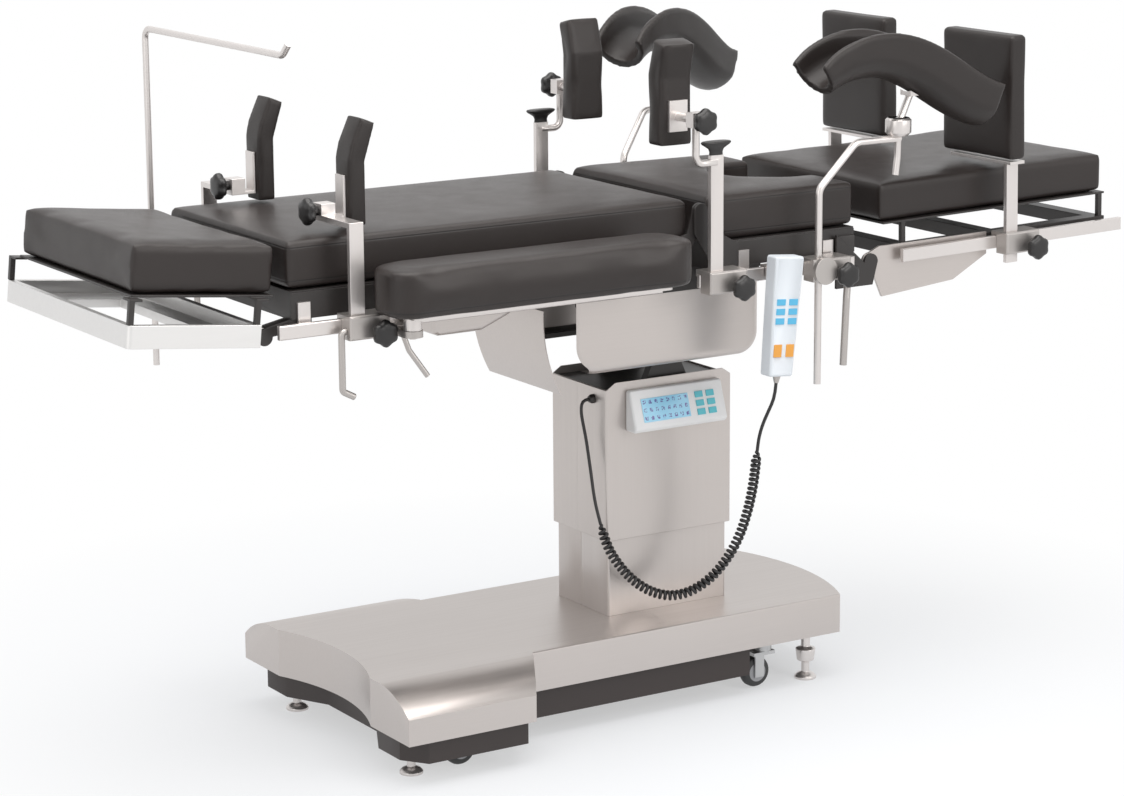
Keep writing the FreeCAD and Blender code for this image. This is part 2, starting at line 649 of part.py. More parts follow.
def rails(label, left, length, posts, turn=None, tab=False):
    """A pair of accessory rails on stand-offs from the frame's sides."""
    half = d.rail_height / 2
    rail = prism("XZ", rectangle((left, left + length), (rail_z - half, rail_z + half)), -rail_face,
                 -rail_back)
    soften(rail, "Chamfer", 1.5, lambda e, p: abs(p.y + float(rail_face)) < 0.01)
    pieces = [rail] + [rod((x, -rail_back, rail_z), "y", rail_back - frame_side,
                           d.standoff_radius) for x in posts]
    if tab:
        pieces += [box((x - 12, x + 12), (-frame_side - 5, -frame_side),
                       (rail_z - half, frame_base + 30)) for x in posts]
    joined = fuse(*pieces)
    node(label, joined, mirrored(joined), turn=turn)


def cushion(label, outline, low, depth, turn=None):
    body = prism("XY", outline, low, low + depth)
    soften(body, "Fillet", d.cushion_edge, lambda e, p: not along(e, "z"))
    node(label, body, turn=turn)


def hinge_lobe(x, z, toward):
    """Outline of a hinge plate: a round eye at (x, z) that widens to the points in toward."""
    eye = d.hinge_eye
    return [(x - eye, z, -eye), (x + eye, z)] + toward


def seat():
    left, right = seat_frame_left, seat_frame_right
    lug_left, lug_right = d.column_x - d.lug_reach, d.column_x + d.lug_reach
    frame = frame_ring(left, right, frame_base, panel_base, [lug_right - d.member_width / 2])
    beam_low = d.tub_bottom + d.tub_height
    beam_out, tub_right = d.tub_half_width, d.tub_left + d.tub_length
    for side in (-1, 1):
        inner, outer = (beam_out - d.beam_width) * side, beam_out * side
        low, high = (inner, outer) if side > 0 else (outer, inner)
        pad(frame, "XY", rectangle((d.tub_left + 4, tub_right - 4), (low, high)), beam_low,
            beam_low + d.beam_height)
        for x in (left, lug_right - d.member_width / 2):
            pad(frame, "XY", rectangle((x, x + d.member_width), (low, high)), beam_low + d.beam_height,
                frame_base)
    for x in (lug_left, lug_right - d.lug_thickness):
        pad(frame, "YZ", [(-beam_out + 1, beam_low), (-62, beam_low), (-d.lug_half, d.pivot_z, d.lug_half),
                          (d.lug_half, d.pivot_z), (62, beam_low), (beam_out - 1, beam_low),
                          (beam_out - 1, beam_low + d.beam_height), (-beam_out + 1,
                                                                     beam_low + d.beam_height)],
            x, x + d.lug_thickness)
        pocket(frame, "YZ", ((0, d.pivot_z), d.trunnion_radius + d.running_gap), x - 1,
               x + d.lug_thickness + 1)
    pad(frame, "XY", seat_outline(1, left, right), panel_base, cushion_base)
    for side in (-1, 1):
        lobe = hinge_lobe(back_hinge_x, back_hinge_z, [
            (back_hinge_x + d.hinge_eye, back_hinge_z - 30), (back_hinge_x + 84,
                                                              panel_base), (back_hinge_x + 84, frame_base),
            (back_hinge_x + 30, frame_base), (back_hinge_x - d.hinge_eye, back_hinge_z - 40)])
        low, high = sorted_pair(plate_gap * side, plate_out * side)
        pad(frame, "XZ", lobe, low, high)
        low, high = sorted_pair(plate_in * side, plate_gap * side)
        pad(frame, "XZ", rectangle((back_hinge_x + 40, back_hinge_x + 80),
                                   (frame_base + 2, panel_base - 2)), low, high)
        # leg hinge bracket below the right end of the frame
        low, high = sorted_pair(plate_gap * side, plate_out * side)
        pad(frame, "XZ", [(leg_hinge_x + 16, d.leg_hinge_z, 16), (leg_hinge_x - 16, d.leg_hinge_z),
                          (seat_right - 55, panel_base - 8), (seat_right - 55, frame_base - 66),
                          (leg_hinge_x + 4, frame_base - 66)], low, high)
        low, high = sorted_pair(plate_in * side, plate_gap * side)
        pad(frame, "XZ", rectangle((seat_right - 48, seat_right - 8), (frame_base + 2, panel_base - 12)),
            low, high)
        for x, z in ((back_hinge_x, back_hinge_z), (leg_hinge_x, d.leg_hinge_z)):
            low, high = sorted_pair((plate_in - 1) * side, plate_gap * side)
            pad(frame, "XZ", ((x, z), d.pin_radius), low, high)
    node("seat_frame", frame)
    cushion("seat_cushion", seat_outline(0, d.seat_left, seat_right), cushion_base, d.cushion_depth)
    rails("seat_rails", d.seat_rail_left, d.seat_rail_length, (back_hinge_x + 102, seat_right - 70),
          tab=True)

    # Tilt housing: a deep drawn cover, open at the top, at the head end and round the column.
    top = d.tub_bottom + d.tub_height
    form = prism("XZ", rectangle((d.tub_left, tub_right), (d.tub_bottom, top)), -beam_out, beam_out)
    soften(form, "Fillet", d.tub_left_round, lambda e, p: along(e, "y") and p.z < 700 and p.x < 0)
    soften(form, "Fillet", d.tub_right_round, lambda e, p: along(e, "y") and p.z < 700 and p.x > 0)
    soften(form, "Fillet", d.tub_roll, lambda e, p: abs(abs(p.y) - float(beam_out)) < 0.01
           and p.z < float(top) - 1 and p.x > float(d.tub_left) + 1)
    wall = d.tub_wall
    hollow = prism("XZ", rectangle((d.tub_left - 40, tub_right - wall), (d.tub_bottom + wall, top + 5)),
                   -beam_out + wall, beam_out - wall)
    soften(hollow, "Fillet", d.tub_right_round - wall, lambda e, p: along(e, "y") and p.z < 700 and p.x > 0)
    soften(hollow, "Fillet", d.tub_roll - wall, lambda e, p: abs(abs(p.y) - float(beam_out - wall)) < 0.01
           and p.z < float(top) - 1 and p.x > float(d.tub_left))
    opening = box((d.tub_left - 5, tub_right - d.tub_right_round), (-d.tub_lip, d.tub_lip),
                  (d.tub_bottom - 5, d.tub_bottom + d.tub_left_round + 10))
    end = box((tub_right - d.tub_right_round - 5, tub_right + 5), (-d.tub_end_return, d.tub_end_return),
              (d.tub_bottom - 5, top + 5))
    node("tilt_housing", cut(form, hollow, opening, end))


def sorted_pair(a, b):
    return (a, b) if float(a) < float(b) else (b, a)


def seat_outline(inset, left, right):
    """Seat plan with the U cut-out that opens to the leg end."""
    half = half_cushion - inset
    u = d.cutout_half_width + inset
    flat = right - (d.cutout_depth - d.cutout_half_width)
    return [(left, -half), (right, -half), (right, -u), (flat, -u, -u), (flat, u), (right, u),
            (right, half),
            (left, half)]


def back():
    left, right = back_left + 8, back_frame_right
    ring_right = d.tub_left - 34
    frame = frame_ring(left, ring_right, frame_base, panel_base, [left + 250, d.housing_left + 8])
    for side in (-1, 1):
        low, high = sorted_pair((frame_side - d.member_width) * side, frame_side * side)
        pad(frame, "XY", rectangle((ring_right, right), (low, high)), frame_base, panel_base)
        # hinge plate from the side member up to the pin beside the cushions
        low, high = sorted_pair(plate_in * side, (plate_in + d.hinge_plate) * side)
        pad(frame, "XZ", hinge_lobe(back_hinge_x, back_hinge_z, [
            (back_hinge_x + 12, back_hinge_z - 30), (back_hinge_x - 22,
                                                     panel_base - 4), (back_hinge_x - 60, frame_base),
            (back_hinge_x - 120, frame_base), (back_hinge_x - 120, panel_base), (back_hinge_x - 28,
                                                                                 panel_base + 26)]),
            low, high)
        pocket(frame, "XZ", ((back_hinge_x, back_hinge_z), d.pin_radius + d.pin_clearance), low, high)
        # clevis ears for the head section
        eye = d.hinge_eye
        x, z = d.head_hinge_x, d.head_hinge_z
        for inner in (d.ear_inner, d.ear_outer):
            low, high = sorted_pair(inner * side, (inner + d.ear_width) * side)
            pad(frame, "XZ", [(left + 40, frame_base), (left, frame_base + 12), (left, frame_base),
                              (x - eye * 0.4, z + eye * 0.9),
                              (x - eye, z, eye), (x + eye, z), (left + 40, z + 8)], low, high)
        low, high = sorted_pair(d.ear_inner * side, (d.ear_outer + d.ear_width) * side)
        pad(frame, "XZ", ((x, z), d.pin_radius), low, high)
    pad(frame, "XY", rectangle((left, right), (-half_cushion + 2, half_cushion - 2)), panel_base,
        cushion_base)
    node("back_frame", frame)
    cushion("back_cushion", rectangle((back_left, back_right), (-half_cushion, half_cushion)), cushion_base,
            d.cushion_depth)
    rail_left = d.back_rail_right - d.back_rail_length
    rails("back_rails", rail_left, d.back_rail_length, (rail_left + 60, rail_left + 400,
                                                        d.back_rail_right - 60),
          tab=True)
    # Drive housing under the back frame, with bevelled ends.
    x0, z0, deep = d.housing_left, frame_base, d.housing_depth
    housing = prism("XZ", [(x0, z0), (x0 + 8, z0 - deep + 6), (x0 + 20, z0 - deep), (x0 + 110, z0 - deep),
                           (x0 + d.housing_length - 6, z0 - 44), (x0 + d.housing_length, z0)],
                    -d.housing_half, d.housing_half)
    soften(housing, "Fillet", 14, lambda e, p: abs(abs(p.y) - float(d.housing_half)) < 0.01
           and p.z < float(frame_base) - 1)
    node("back_housing", housing)


def head():
    """Head section: a tray frame on two hinge arms, and a plate on posts above it."""
    tray_top = frame_base + 1
    tray_low = tray_top - d.head_tray_depth
    left, right = head_left - 10, d.head_hinge_x - 19
    half = rail_face - 7
    wall = d.head_tray_wall
    tray = prism("XY", rectangle((left, right), (-half, half)), tray_low, tray_top)
    soften(tray, "Fillet", 10, lambda e, p: along(e, "z") and p.x < float(left) + 1)
    pocket(tray, "XY", rectangle((left + wall, right - wall), (-half + wall, half - wall)), tray_low + 16,
           tray_top + 1)
    pocket(tray, "XY", rectangle((left + 70, right - 60), (-half + 80, half - 80)), tray_low - 1,
           tray_low + 17)
    x, z, eye = d.head_hinge_x, d.head_hinge_z, d.hinge_eye
    for side in (-1, 1):
        low, high = sorted_pair(d.head_arm_in * side, (d.head_arm_in + d.head_arm_width) * side)
        pad(tray, "XZ", [(right - 4, tray_low + 4), (x, z - eye, eye), (x, z + eye),
                         (right - 4, z + eye + 4)], low, high)
        pocket(tray, "XZ", ((x, z), d.pin_radius + d.pin_clearance), low, high)
    node("head_frame", tray, turn=head_turn)
    plate_top = d.top_height - 1 - d.cushion_depth
    plate_low = plate_top - d.section_plate
    plate = prism("XY", rectangle((head_left + 3, head_right - 3), (-half_cushion + 2, half_cushion - 2)),
                  plate_low,
                  plate_top)
    post = d.post_side
    for x0 in (left + 1, right - wall + 2):
        for y0 in (-half + 2, half - 2 - post):
            inward = 20 if float(y0) < 0 else -20
            pad(plate, "XY", rectangle((x0, x0 + post), (y0, y0 + post)), tray_top, plate_low)
            pad(plate, "XY", rectangle((x0, x0 + post + 14), (y0 + inward if inward < 0 else y0,
                                                                y0 + post + (inward if inward > 0 else 0))),
                plate_low - 4, plate_low)
    node("head_panel", plate, turn=head_turn)
    cushion("head_cushion", rectangle((head_left, head_right), (-half_cushion, half_cushion)), plate_top,
            d.cushion_depth, turn=head_turn)


def leg():
    """Leg section: hinge plates, a low frame between the rails, and a plate on posts above."""
    left, right = leg_frame_left, leg_frame_right
    low, top = frame_base - 25, frame_base
    frame = frame_ring(left + 40, right, low, top, [left + 260])
    plate_top = cushion_base - 1
    plate_low = plate_top - d.section_plate
    pad(frame, "XY", rectangle((left, right + 2), (-half_cushion + 2, half_cushion - 2)), plate_low,
        plate_top)
    for x0 in (left + 44, right - 14):
        for y0 in (-frame_side + 3, frame_side - 13):
            pad(frame, "XY", rectangle((x0, x0 + d.post_side), (y0, y0 + d.post_side)), top, plate_low)
    node("leg_frame", frame, turn=leg_turn)
    # Tapered stainless hinge plates along the frame's sides.
    x, z, eye = leg_hinge_x, d.leg_hinge_z, size(17)
    plate = prism("XZ", [(x - eye, z, -eye), (x, z + eye), (x + 24, frame_base + 6),
                         (x + 290, frame_base + 4),
                         (x + 290, frame_base - 40), (x + 206, frame_base - 82), (x + 30, frame_base - 94),
                         (x + 6, z - eye)], -plate_in - d.hinge_plate, -plate_in)
    pocket(plate, "XZ", ((x, z), d.pin_radius + d.pin_clearance), -plate_in - d.hinge_plate, -plate_in)
    node("leg_hinge_plates", *both(plate), turn=leg_turn)
    cushion("leg_cushion", rectangle((leg_left, leg_right), (-half_cushion, half_cushion)), plate_top,
            d.leg_cushion_depth, turn=leg_turn)
    rails("leg_rails", d.leg_rail_left, d.leg_rail_length, (d.leg_rail_left + 260, leg_right - 40),
          turn=leg_turn)


def turned(turn, *objects):
    """A group turned about a lateral axis at (x, z) by degrees."""
    whole = fresh("Part::Compound")
    whole.Links = list(objects)
    centre = V(float(turn[0]), 0, float(turn[1]))
    spin = FreeCAD.Rotation(V(0, 1, 0), float(turn[2]))
    whole.Placement = FreeCAD.Placement(centre - spin.multVec(centre), spin)
    return whole


bar_y = rail_face + d.jaw_clearance + d.clamp_depth / 2
clamp_low = rail_z - d.clamp_height / 2


def rail_clamp(x, bore_half, knob_shift):
    """Near-side clamp: a block with a jaw over the rail, and a hand knob facing outwards.

    bore_half is the half width and half depth of the slot, or one radius for a round bar."""
    face = rail_face + d.jaw_clearance
    outer = face + d.clamp_depth
    low, high = clamp_low, clamp_low + d.clamp_height
    rail_top = rail_z + d.rail_height / 2 + d.jaw_clearance
    right = x + knob_shift + 22
    block = prism("XZ", rectangle((x - d.clamp_width / 2, right), (low, high)), -outer, -face)
    soften(block, "Chamfer", 3, lambda e, p: abs(p.y + float(outer)) < 0.01)
    back_in = rail_back - d.jaw_clearance
    claw = rail_z + d.standoff_radius + d.jaw_clearance
    pad(block, "YZ", [(-face - 1, rail_top), (-back_in, rail_top), (-back_in, claw), (-back_in + 5, claw),
                      (-back_in + 5, high), (-face - 1, high)], x - d.clamp_width / 2, right)
    if isinstance(bore_half, tuple):
        wide, deep = bore_half
        pocket(block, "XY", rectangle((x - wide, x + wide), (-bar_y - deep, -bar_y + deep)), low - 1,
               high + 1)
    else:
        pocket(block, "XY", ((x, -bar_y), bore_half), low - 1, high + 1)
    grip = place(knob_body(), x + knob_shift, -outer, rail_z - 10, "y")
    grip.Placement = FreeCAD.Placement(grip.Placement.Base, FreeCAD.Rotation(V(1, 0, 0), 90))
    return [block, grip]


def knob_body():
    radius = d.knob_radius
    return revolved([(0, 0), (9, 0), (10, 8), (radius, 13), (radius, 24), (radius - 4, 29), (6, 29),
                     (5, 27), (0, 27)])


slot = (d.support_bar_width / 2 + d.slide_clearance, d.support_bar_depth / 2 + d.slide_clearance)


def bar(x, low, high):
    """Flat support bar standing in a clamp's slot."""
    return box((x - d.support_bar_width / 2, x + d.support_bar_width / 2),
               (-bar_y - d.support_bar_depth / 2, -bar_y + d.support_bar_depth / 2), (low, high))


def shoulder_supports():
    x, z, side_y = d.shoulder_x, d.shoulder_arm_z, size(175)
    clamp = rail_clamp(x, slot, 36)
    crank = bent_rod([(x - 22, -bar_y, rail_z - 6), (x - 31, -bar_y, rail_z - 6),
                      (x - 31, -bar_y, rail_z - 112),
                      (x - 8, -bar_y, rail_z - 124)], size(6), size(8))
    screen_clamp = rail_clamp(d.screen_x, d.screen_radius + d.slide_clearance, 38)
    node("back_rail_clamps", *[piece for item in clamp + [crank] for piece in both(item)],
         *[mirrored(piece) for piece in screen_clamp])
    half = d.support_bar_width / 2
    steel = fuse(bar(x, rail_z - 20, z + 5),
                 box((x - half, x + half), (-bar_y - 5, -side_y + 15), (z - 5, z + 5)),
                 box((x - half, x + half), (-side_y - 15, -side_y + 15), (z - 5, z + 25)),
                 box((x + half - 1, x + half + 21), (-side_y - 15, -side_y + 15), (z - 5, z + 1)),
                 box((x + half + 16, x + half + 21), (-side_y - 15, -side_y + 15), (z - 5, z + 72)))
    face = x + half + 21
    shape = prism("XZ", [(face, z - 20), (face + 36, z - 20), (face + 36, z + 96), (face + 57, z + 162),
                         (face + 28, z + 174), (face + 6, z + 126), (face,
                                                                     z + 100)], -side_y - 30, -side_y + 30)
    soften(shape, "Fillet", 7, lambda e, p: abs(abs(p.y + float(side_y)) - 30) < 0.01)
    grip = place(knob_body(), x - half, -side_y, z + 12, "x")
    grip.Placement = FreeCAD.Placement(grip.Placement.Base, FreeCAD.Rotation(V(0, 1, 0), -90))
    pieces = [steel, shape, grip]
    node("shoulder_support_near", *pieces)
    node("shoulder_support_far", *[mirrored(piece) for piece in pieces])


def body_supports():
    """Lateral supports: a bar in a rail clamp, a cranked rod and an upholstered pad."""
    clamps = []
    z, y, r = d.support_arm_z, bar_y - 62, d.rod_radius
    for label, x, shift in (("near", d.support_near_x, -1), ("far", d.support_far_x, 1)):
        clamps.append(rail_clamp(x, slot, 40))
        centre = x + d.support_side * shift
        steel = fuse(bar(x, rail_z - 20, z - 6),
                     bent_rod([(x, -bar_y, z - 20), (centre, -bar_y, z - 20), (centre, -bar_y, z + 72)], r,
                              size(16)),
                     rod((centre, -bar_y, z + 62), "y", bar_y - y - 5, size(8)),
                     box((centre - 14, centre + 14), (-bar_y - 12, -bar_y + 12), (z + 48, z + 76)),
                     box((centre - 20, centre + 20), (-y - 6, -y), (z + 34, z + 92)))
        handle = box((x - 32, x + 32), (-bar_y - 12, -bar_y + 12), (z - 6, z + 20))
        shape = prism("YZ", [(-y, z + 6), (-y + 45, z + 6), (-y + 45, z + 140), (-y + 26, z + 205),
                             (-y - 12, z + 196), (-y, z + 134)], centre - 38, centre + 38)
        soften(shape, "Fillet", 8, lambda e, p, at=centre: abs(abs(p.x - float(at)) - 38) < 0.01)
        grip = place(knob_body(), centre, -bar_y - 12, z + 62, "y")
        grip.Placement = FreeCAD.Placement(grip.Placement.Base, FreeCAD.Rotation(V(1, 0, 0), 90))
        pieces = [steel, handle, grip]
        if shift < 0:
            node("body_support_near", *pieces)
            node("body_pad_near", shape)
        else:
            node("body_support_far", *[mirrored(piece) for piece in pieces])
            node("body_pad_far", mirrored(shape))
    near, far = clamps
    node("support_clamps", *near, *[mirrored(piece) for piece in far])


def foot_boards():
    x = d.foot_board_x + d.foot_board_depth / 2
    clamp = rail_clamp(x, slot, 40)
    node("foot_clamps", *[piece for item in clamp for piece in both(item)], turn=leg_turn)
    low = d.foot_board_bottom - 6
    outer = bar_y + 26
    steel = fuse(bar(x, rail_z - 40, low - 5),
                 box((x - 18, x + 18), (-outer + 6, -outer + d.foot_board_width - 30), (low - 6, low)))
    board = prism("YZ", rectangle((-outer, -outer + d.foot_board_width), (low, low + d.foot_board_height)),
                  d.foot_board_x, d.foot_board_x + d.foot_board_depth)
    soften(board, "Fillet", 9, lambda e, p: True)
    pieces = [steel, board]
    node("foot_board_near", *pieces, turn=leg_turn)
    node("foot_board_far", *[mirrored(piece) for piece in pieces], turn=leg_turn)


def crutches():
    """Leg holders: a cranked rod in a rotary rail clamp, a ball in a cup, and a padded gutter."""
    clamps = []
    for label, x, swing in (("near", d.crutch_x, 0), ("far", d.crutch_far_x, -d.crutch_far_turn)):
        lever = bent_rod([(x + 66, -bar_y - 6, clamp_low), (x + 60, -bar_y - 10, rail_z - 60),
                          (x + 54, -bar_y - 10, rail_z - 190)], size(7), size(16))
        disc = rod((x, -bar_y - d.clamp_depth / 2 - 10, rail_z), "y", 10, 26)
        pieces = rail_clamp(x, d.rod_radius + d.slide_clearance, 44) + [lever, disc]
        clamps += pieces if label == "near" else [mirrored(piece) for piece in pieces]
        top, end = rail_z + d.crutch_rise, x + d.crutch_reach
        ball_z, cavity = top + 26, d.ball_radius + d.ball_clearance
        lip = math.sqrt(float(cavity) ** 2 - 36)
        # the cup holds the ball from below and past its middle
        cup = revolved([(0, 5), (18, 5), (d.cup_radius, 12), (d.cup_radius, 36), (d.cup_radius - 4, 40),
                        (lip + 7, 40),
                        (lip, 32, -cavity), (0, 26 - cavity)])
        steel = fuse(bent_rod([(x, -bar_y, rail_z - 222), (x, -bar_y, top - 82), (x + 86, -bar_y, top),
                               (end + 4, -bar_y, top)], d.rod_radius, size(28)),
                     place(cup, end, -bar_y, top),
                     bent_rod([(end, -bar_y, top), (end - 1, -bar_y, top - 36),
                               (end - 5, -bar_y, top - 70)],
                              size(6.5), size(30)))
        lean = math.radians(float(d.stem_lean))
        reach = 76
        foot = (end + reach * math.sin(lean), ball_z + reach * math.cos(lean))
        ball = fresh("Part::Sphere")
        bind(ball, "Radius", d.ball_radius)
        stem = fuse(place(ball, end, -bar_y, ball_z),
                    bent_rod([(end, -bar_y, ball_z), (foot[0], -bar_y, foot[1])], size(7), size(1)))
        gutter = gutter_solid(end, -bar_y, top)
        bracket = cut(fuse(stem, box((foot[0] - 16, foot[0] + 20), (-bar_y - 16, -bar_y + 16),
                                     (foot[1] - 14, foot[1] + 12))), gutter)
        for piece in (steel, bracket, gutter):
            spin_about(piece, x, -bar_y, swing)
        if label == "near":
            node("crutch_rod_near", steel)
            node("crutch_gutter_near", bracket, gutter)
        else:
            node("crutch_rod_far", mirrored(steel))
            node("crutch_gutter_far", mirrored(bracket), mirrored(gutter))
    node("crutch_clamps", *clamps)


def spin_about(obj, x, y, degrees):
    centre = V(float(x), float(y), 0)
    spin = FreeCAD.Rotation(V(0, 0, 1), float(degrees))
    obj.Placement = FreeCAD.Placement(centre - spin.multVec(centre), spin)


def gutter_solid(end, y, top):
    """Saddle: a padded trough that bends over the knee, lofted through five sections."""
    radius, thick = 60, 18
    wires = []
    # each section: the trough's lowest point from the rod's end, its slope, and the wall height
    for dx, dz, slope, rise in ((-180, 96, 32, 18), (-123, 118, 12, 34), (-62, 118, -8, 42),
                                (58, 66, -26, 50),
                                (186, 8, -23, 44)):
        tilt = FreeCAD.Rotation(V(0, 1, 0), -slope)
        centre = V(float(end) + dx, float(y), float(top) + dz) + tilt.multVec(V(0, 0, radius))

        def at(r, angle):
            turn = math.radians(angle)
            return centre + tilt.multVec(V(0, r * math.cos(turn), r * math.sin(turn)))

        up = tilt.multVec(V(0, 0, rise))
        cap = tilt.multVec(V(0, 0, thick / 2))
        outer = [at(radius, a) for a in (200, 270, 340)]
        inner = [at(radius - thick, a) for a in (340, 270, 200)]
        left, right = (outer[0] + up, inner[2] + up), (outer[2] + up, inner[0] + up)
        edges = [Part.LineSegment(left[0], outer[0]), Part.Arc(*outer),
                 Part.LineSegment(outer[2], right[0]),
                 Part.Arc(right[0], (right[0] + right[1]) / 2 + cap, right[1]), Part.LineSegment(right[1],
                                                                                                 inner[0]),
                 Part.Arc(*inner), Part.LineSegment(inner[2], left[1]),
                 Part.Arc(left[1], (left[0] + left[1]) / 2 + cap, left[0])]
        wires.append(Part.Wire([edge.toShape() for edge in edges]))
    feature = fresh("Part::Feature")
    feature.Shape = Part.makeLoft(wires, True, False)
    return feature


def screen():
    x, top = d.screen_x, d.screen_top
    post = bent_rod([(x, bar_y, rail_z - 154), (x, bar_y, top), (x, -262, top), (x, -286, top + 22)],
                    d.screen_radius, size(20))
    node("screen_rod", post)


def arm_board():
    left, right = d.arm_left, d.arm_left + d.arm_length
    inner, outer = -d.arm_inner_y, -d.arm_inner_y - d.arm_width
    low = d.arm_top - d.arm_depth
    body = prism("XY", rectangle((left, right), (outer, inner)), low, d.arm_top)
    soften(body, "Fillet", d.arm_end_round, lambda e, p: along(e, "z"))
    soften(body, "Fillet", d.cushion_edge, lambda e,
           p: abs(p.z - float(low)) < 0.01 or abs(p.z - float(d.arm_top)) < 0.01)
    node("arm_pad", body)
    pivot_x, pivot_y = left + d.arm_width / 2, (inner + outer) / 2
    clamp_top = rail_z - 6
    plate_low = low - d.arm_plate
    plate = prism("XY", rectangle((pivot_x - 14, right - 46), (outer + 26, inner - 24)), plate_low, low)
    soften(plate, "Fillet", 12, lambda e, p: along(e, "z"))
    pad(plate, "XY", ((pivot_x, pivot_y), size(16)), clamp_top + d.jaw_clearance, plate_low)
    pad(plate, "XY", ((pivot_x, pivot_y), d.pin_radius), clamp_top - 16, clamp_top + d.jaw_clearance)
    node("arm_plate", plate)
    clamp = rail_clamp_block(pivot_x)
    boss = d.arm_boss
    pad(clamp, "XY", [(pivot_x - boss, -rail_face - d.jaw_clearance - 4), (pivot_x - boss, pivot_y, boss),
                      (pivot_x + boss, pivot_y), (pivot_x + boss, -rail_face - d.jaw_clearance - 4)],
        clamp_top - 12, clamp_top)
    pocket(clamp, "XY", ((pivot_x, pivot_y), d.pin_radius + d.pin_clearance), clamp_top - 13, clamp_top + 1)
    lever = bent_rod([(pivot_x + 8, -rail_face - 22, rail_z - 21),
                      (pivot_x + 18, -rail_face - 26, rail_z - 52),
                      (pivot_x + 50, -rail_face - 34, rail_z - 100)], size(5), size(12))
    node("arm_clamp", clamp, lever)


def rail_clamp_block(x):
    face = rail_face + d.jaw_clearance
    outer = face + 26
    rail_top = rail_z + d.rail_height / 2 + d.jaw_clearance
    block = prism("XZ", rectangle((x - 13, x + 27), (rail_z - 21, rail_z - 5)), -outer, -face)
    pad(block, "XZ", rectangle((x + 20, x + 27), (rail_z - 21, rail_z + 20)), -outer, -face)
    back_in = rail_back - d.jaw_clearance
    pad(block, "YZ", [(-face - 8, rail_top), (-back_in, rail_top), (-back_in, rail_top - 7),
                      (-back_in + 5, rail_top - 7),
                      (-back_in + 5, rail_top + 7), (-face - 8, rail_top + 7)], x + 20, x + 27)
    return block


def pendant():
    x, top = d.pendant_x, d.pendant_top
    half, low = d.pendant_width / 2, d.pendant_top - d.pendant_height
    face = rail_face + d.jaw_clearance
    back = face + 30
    rail_top = rail_z + d.rail_height / 2 + d.jaw_clearance
    back_in = rail_back - d.jaw_clearance
    hook = prism("YZ", [(-back, rail_z - 6), (-face - 2, rail_z - 6), (-face - 2, rail_top),
                        (-back_in, rail_top),
                        (-back_in, rail_top - 9), (-back_in + 4, rail_top - 9), (-back_in + 4,
                                                                                 rail_top + 4),
                        (-back, rail_top + 4)], x - 15, x + 15)
    front = back + d.pendant_depth
    case = prism("XZ", [(x - half, top), (x - half + 6, low), (x + half - 6, low), (x + half, top)],
                 -front, -back)
    soften(case, "Fillet", 5, lambda e, p: abs(p.y + float(back)) > 1)
    turn = (x, rail_z + 14, d.pendant_lean)
    relief = revolve_at([(0, 0), (4.2, 0), (8, 14), (0, 14)], x, -back - d.pendant_depth / 2, low - 14)
    keys = []
    for row in range(3):
        for column_shift in (-14, 14):
            keys.append(box((x + column_shift - 10, x + column_shift + 10), (-front - 1.5, -front),
                            (top - 92 - row * 18, top - 80 - row * 18)))
    for column_shift in (-14, 14):
        keys.append(box((x + column_shift - 9, x + column_shift + 9), (-front - 2, -front),
                        (top - 190, top - 166)))
    node("pendant", hook, turned(turn, case, relief, *keys))
    angle = math.radians(float(d.pendant_lean))
    drop = float(rail_z + 14 - low + 14)
    return V(float(x) - drop * math.sin(angle), -float(back + d.pendant_depth / 2),
             float(rail_z) + 14 - drop * math.cos(angle))


def panel_face():
    """Display window and key row on the leaning face of the control panel."""
    face = -(d.lower_width / 2 + d.sleeve_clearance + d.sleeve_wall)
    left = d.column_x - d.panel_width / 2 + d.panel_shift
    low = d.panel_top - d.panel_height
    lean = math.degrees(math.atan2(24, float(d.panel_height) - 8))
    pieces = [box((left + 22, left + 130), (-1.2, 0), (12, float(d.panel_height) - 22))]
    for row in range(3):
        for column_shift in (146, 172):
            pieces.append(box((left + column_shift, left + column_shift + 18), (-2, 0),
                              (12 + row * 17, 24 + row * 17)))
    whole = fresh("Part::Compound")
    whole.Links = pieces
    start = V(0, float(face) - 12 - 24, float(low) + 8)
    whole.Placement = FreeCAD.Placement(start, FreeCAD.Rotation(V(1, 0, 0), -lean))
    node("panel_display", whole)


def cord(label, points, radius):
    """A round cord through points, each bend as wide as its two runs allow."""
    points = [V(*p) for p in points]
    radii = []
    for i in range(1, len(points) - 1):
        before, after = points[i] - points[i - 1], points[i + 1] - points[i]
        turn = before.getAngle(after)
        radii.append(0.45 * min(before.Length, after.Length) / math.tan(turn / 2))
    wire = bent_wire(points, radii)
    section = Part.Wire(Part.Circle(points[0], points[1] - points[0], float(radius)).toShape())
    feature = fresh("Part::Feature")
    feature.Shape = wire.makePipeShell([section], True, False)
    print(label, "length %.0f" % wire.Length, "radii", [round(r) for r in radii],
          "volume ratio %.4f" % (feature.Shape.Volume / (math.pi * float(radius) ** 2 * wire.Length)))
    node(label, feature)


def beyond(a, b, length):
    """The point past b on the line from a, so that two cords join end to end."""
    return tuple(V(*b) + (V(*b) - V(*a)).normalize() * length)


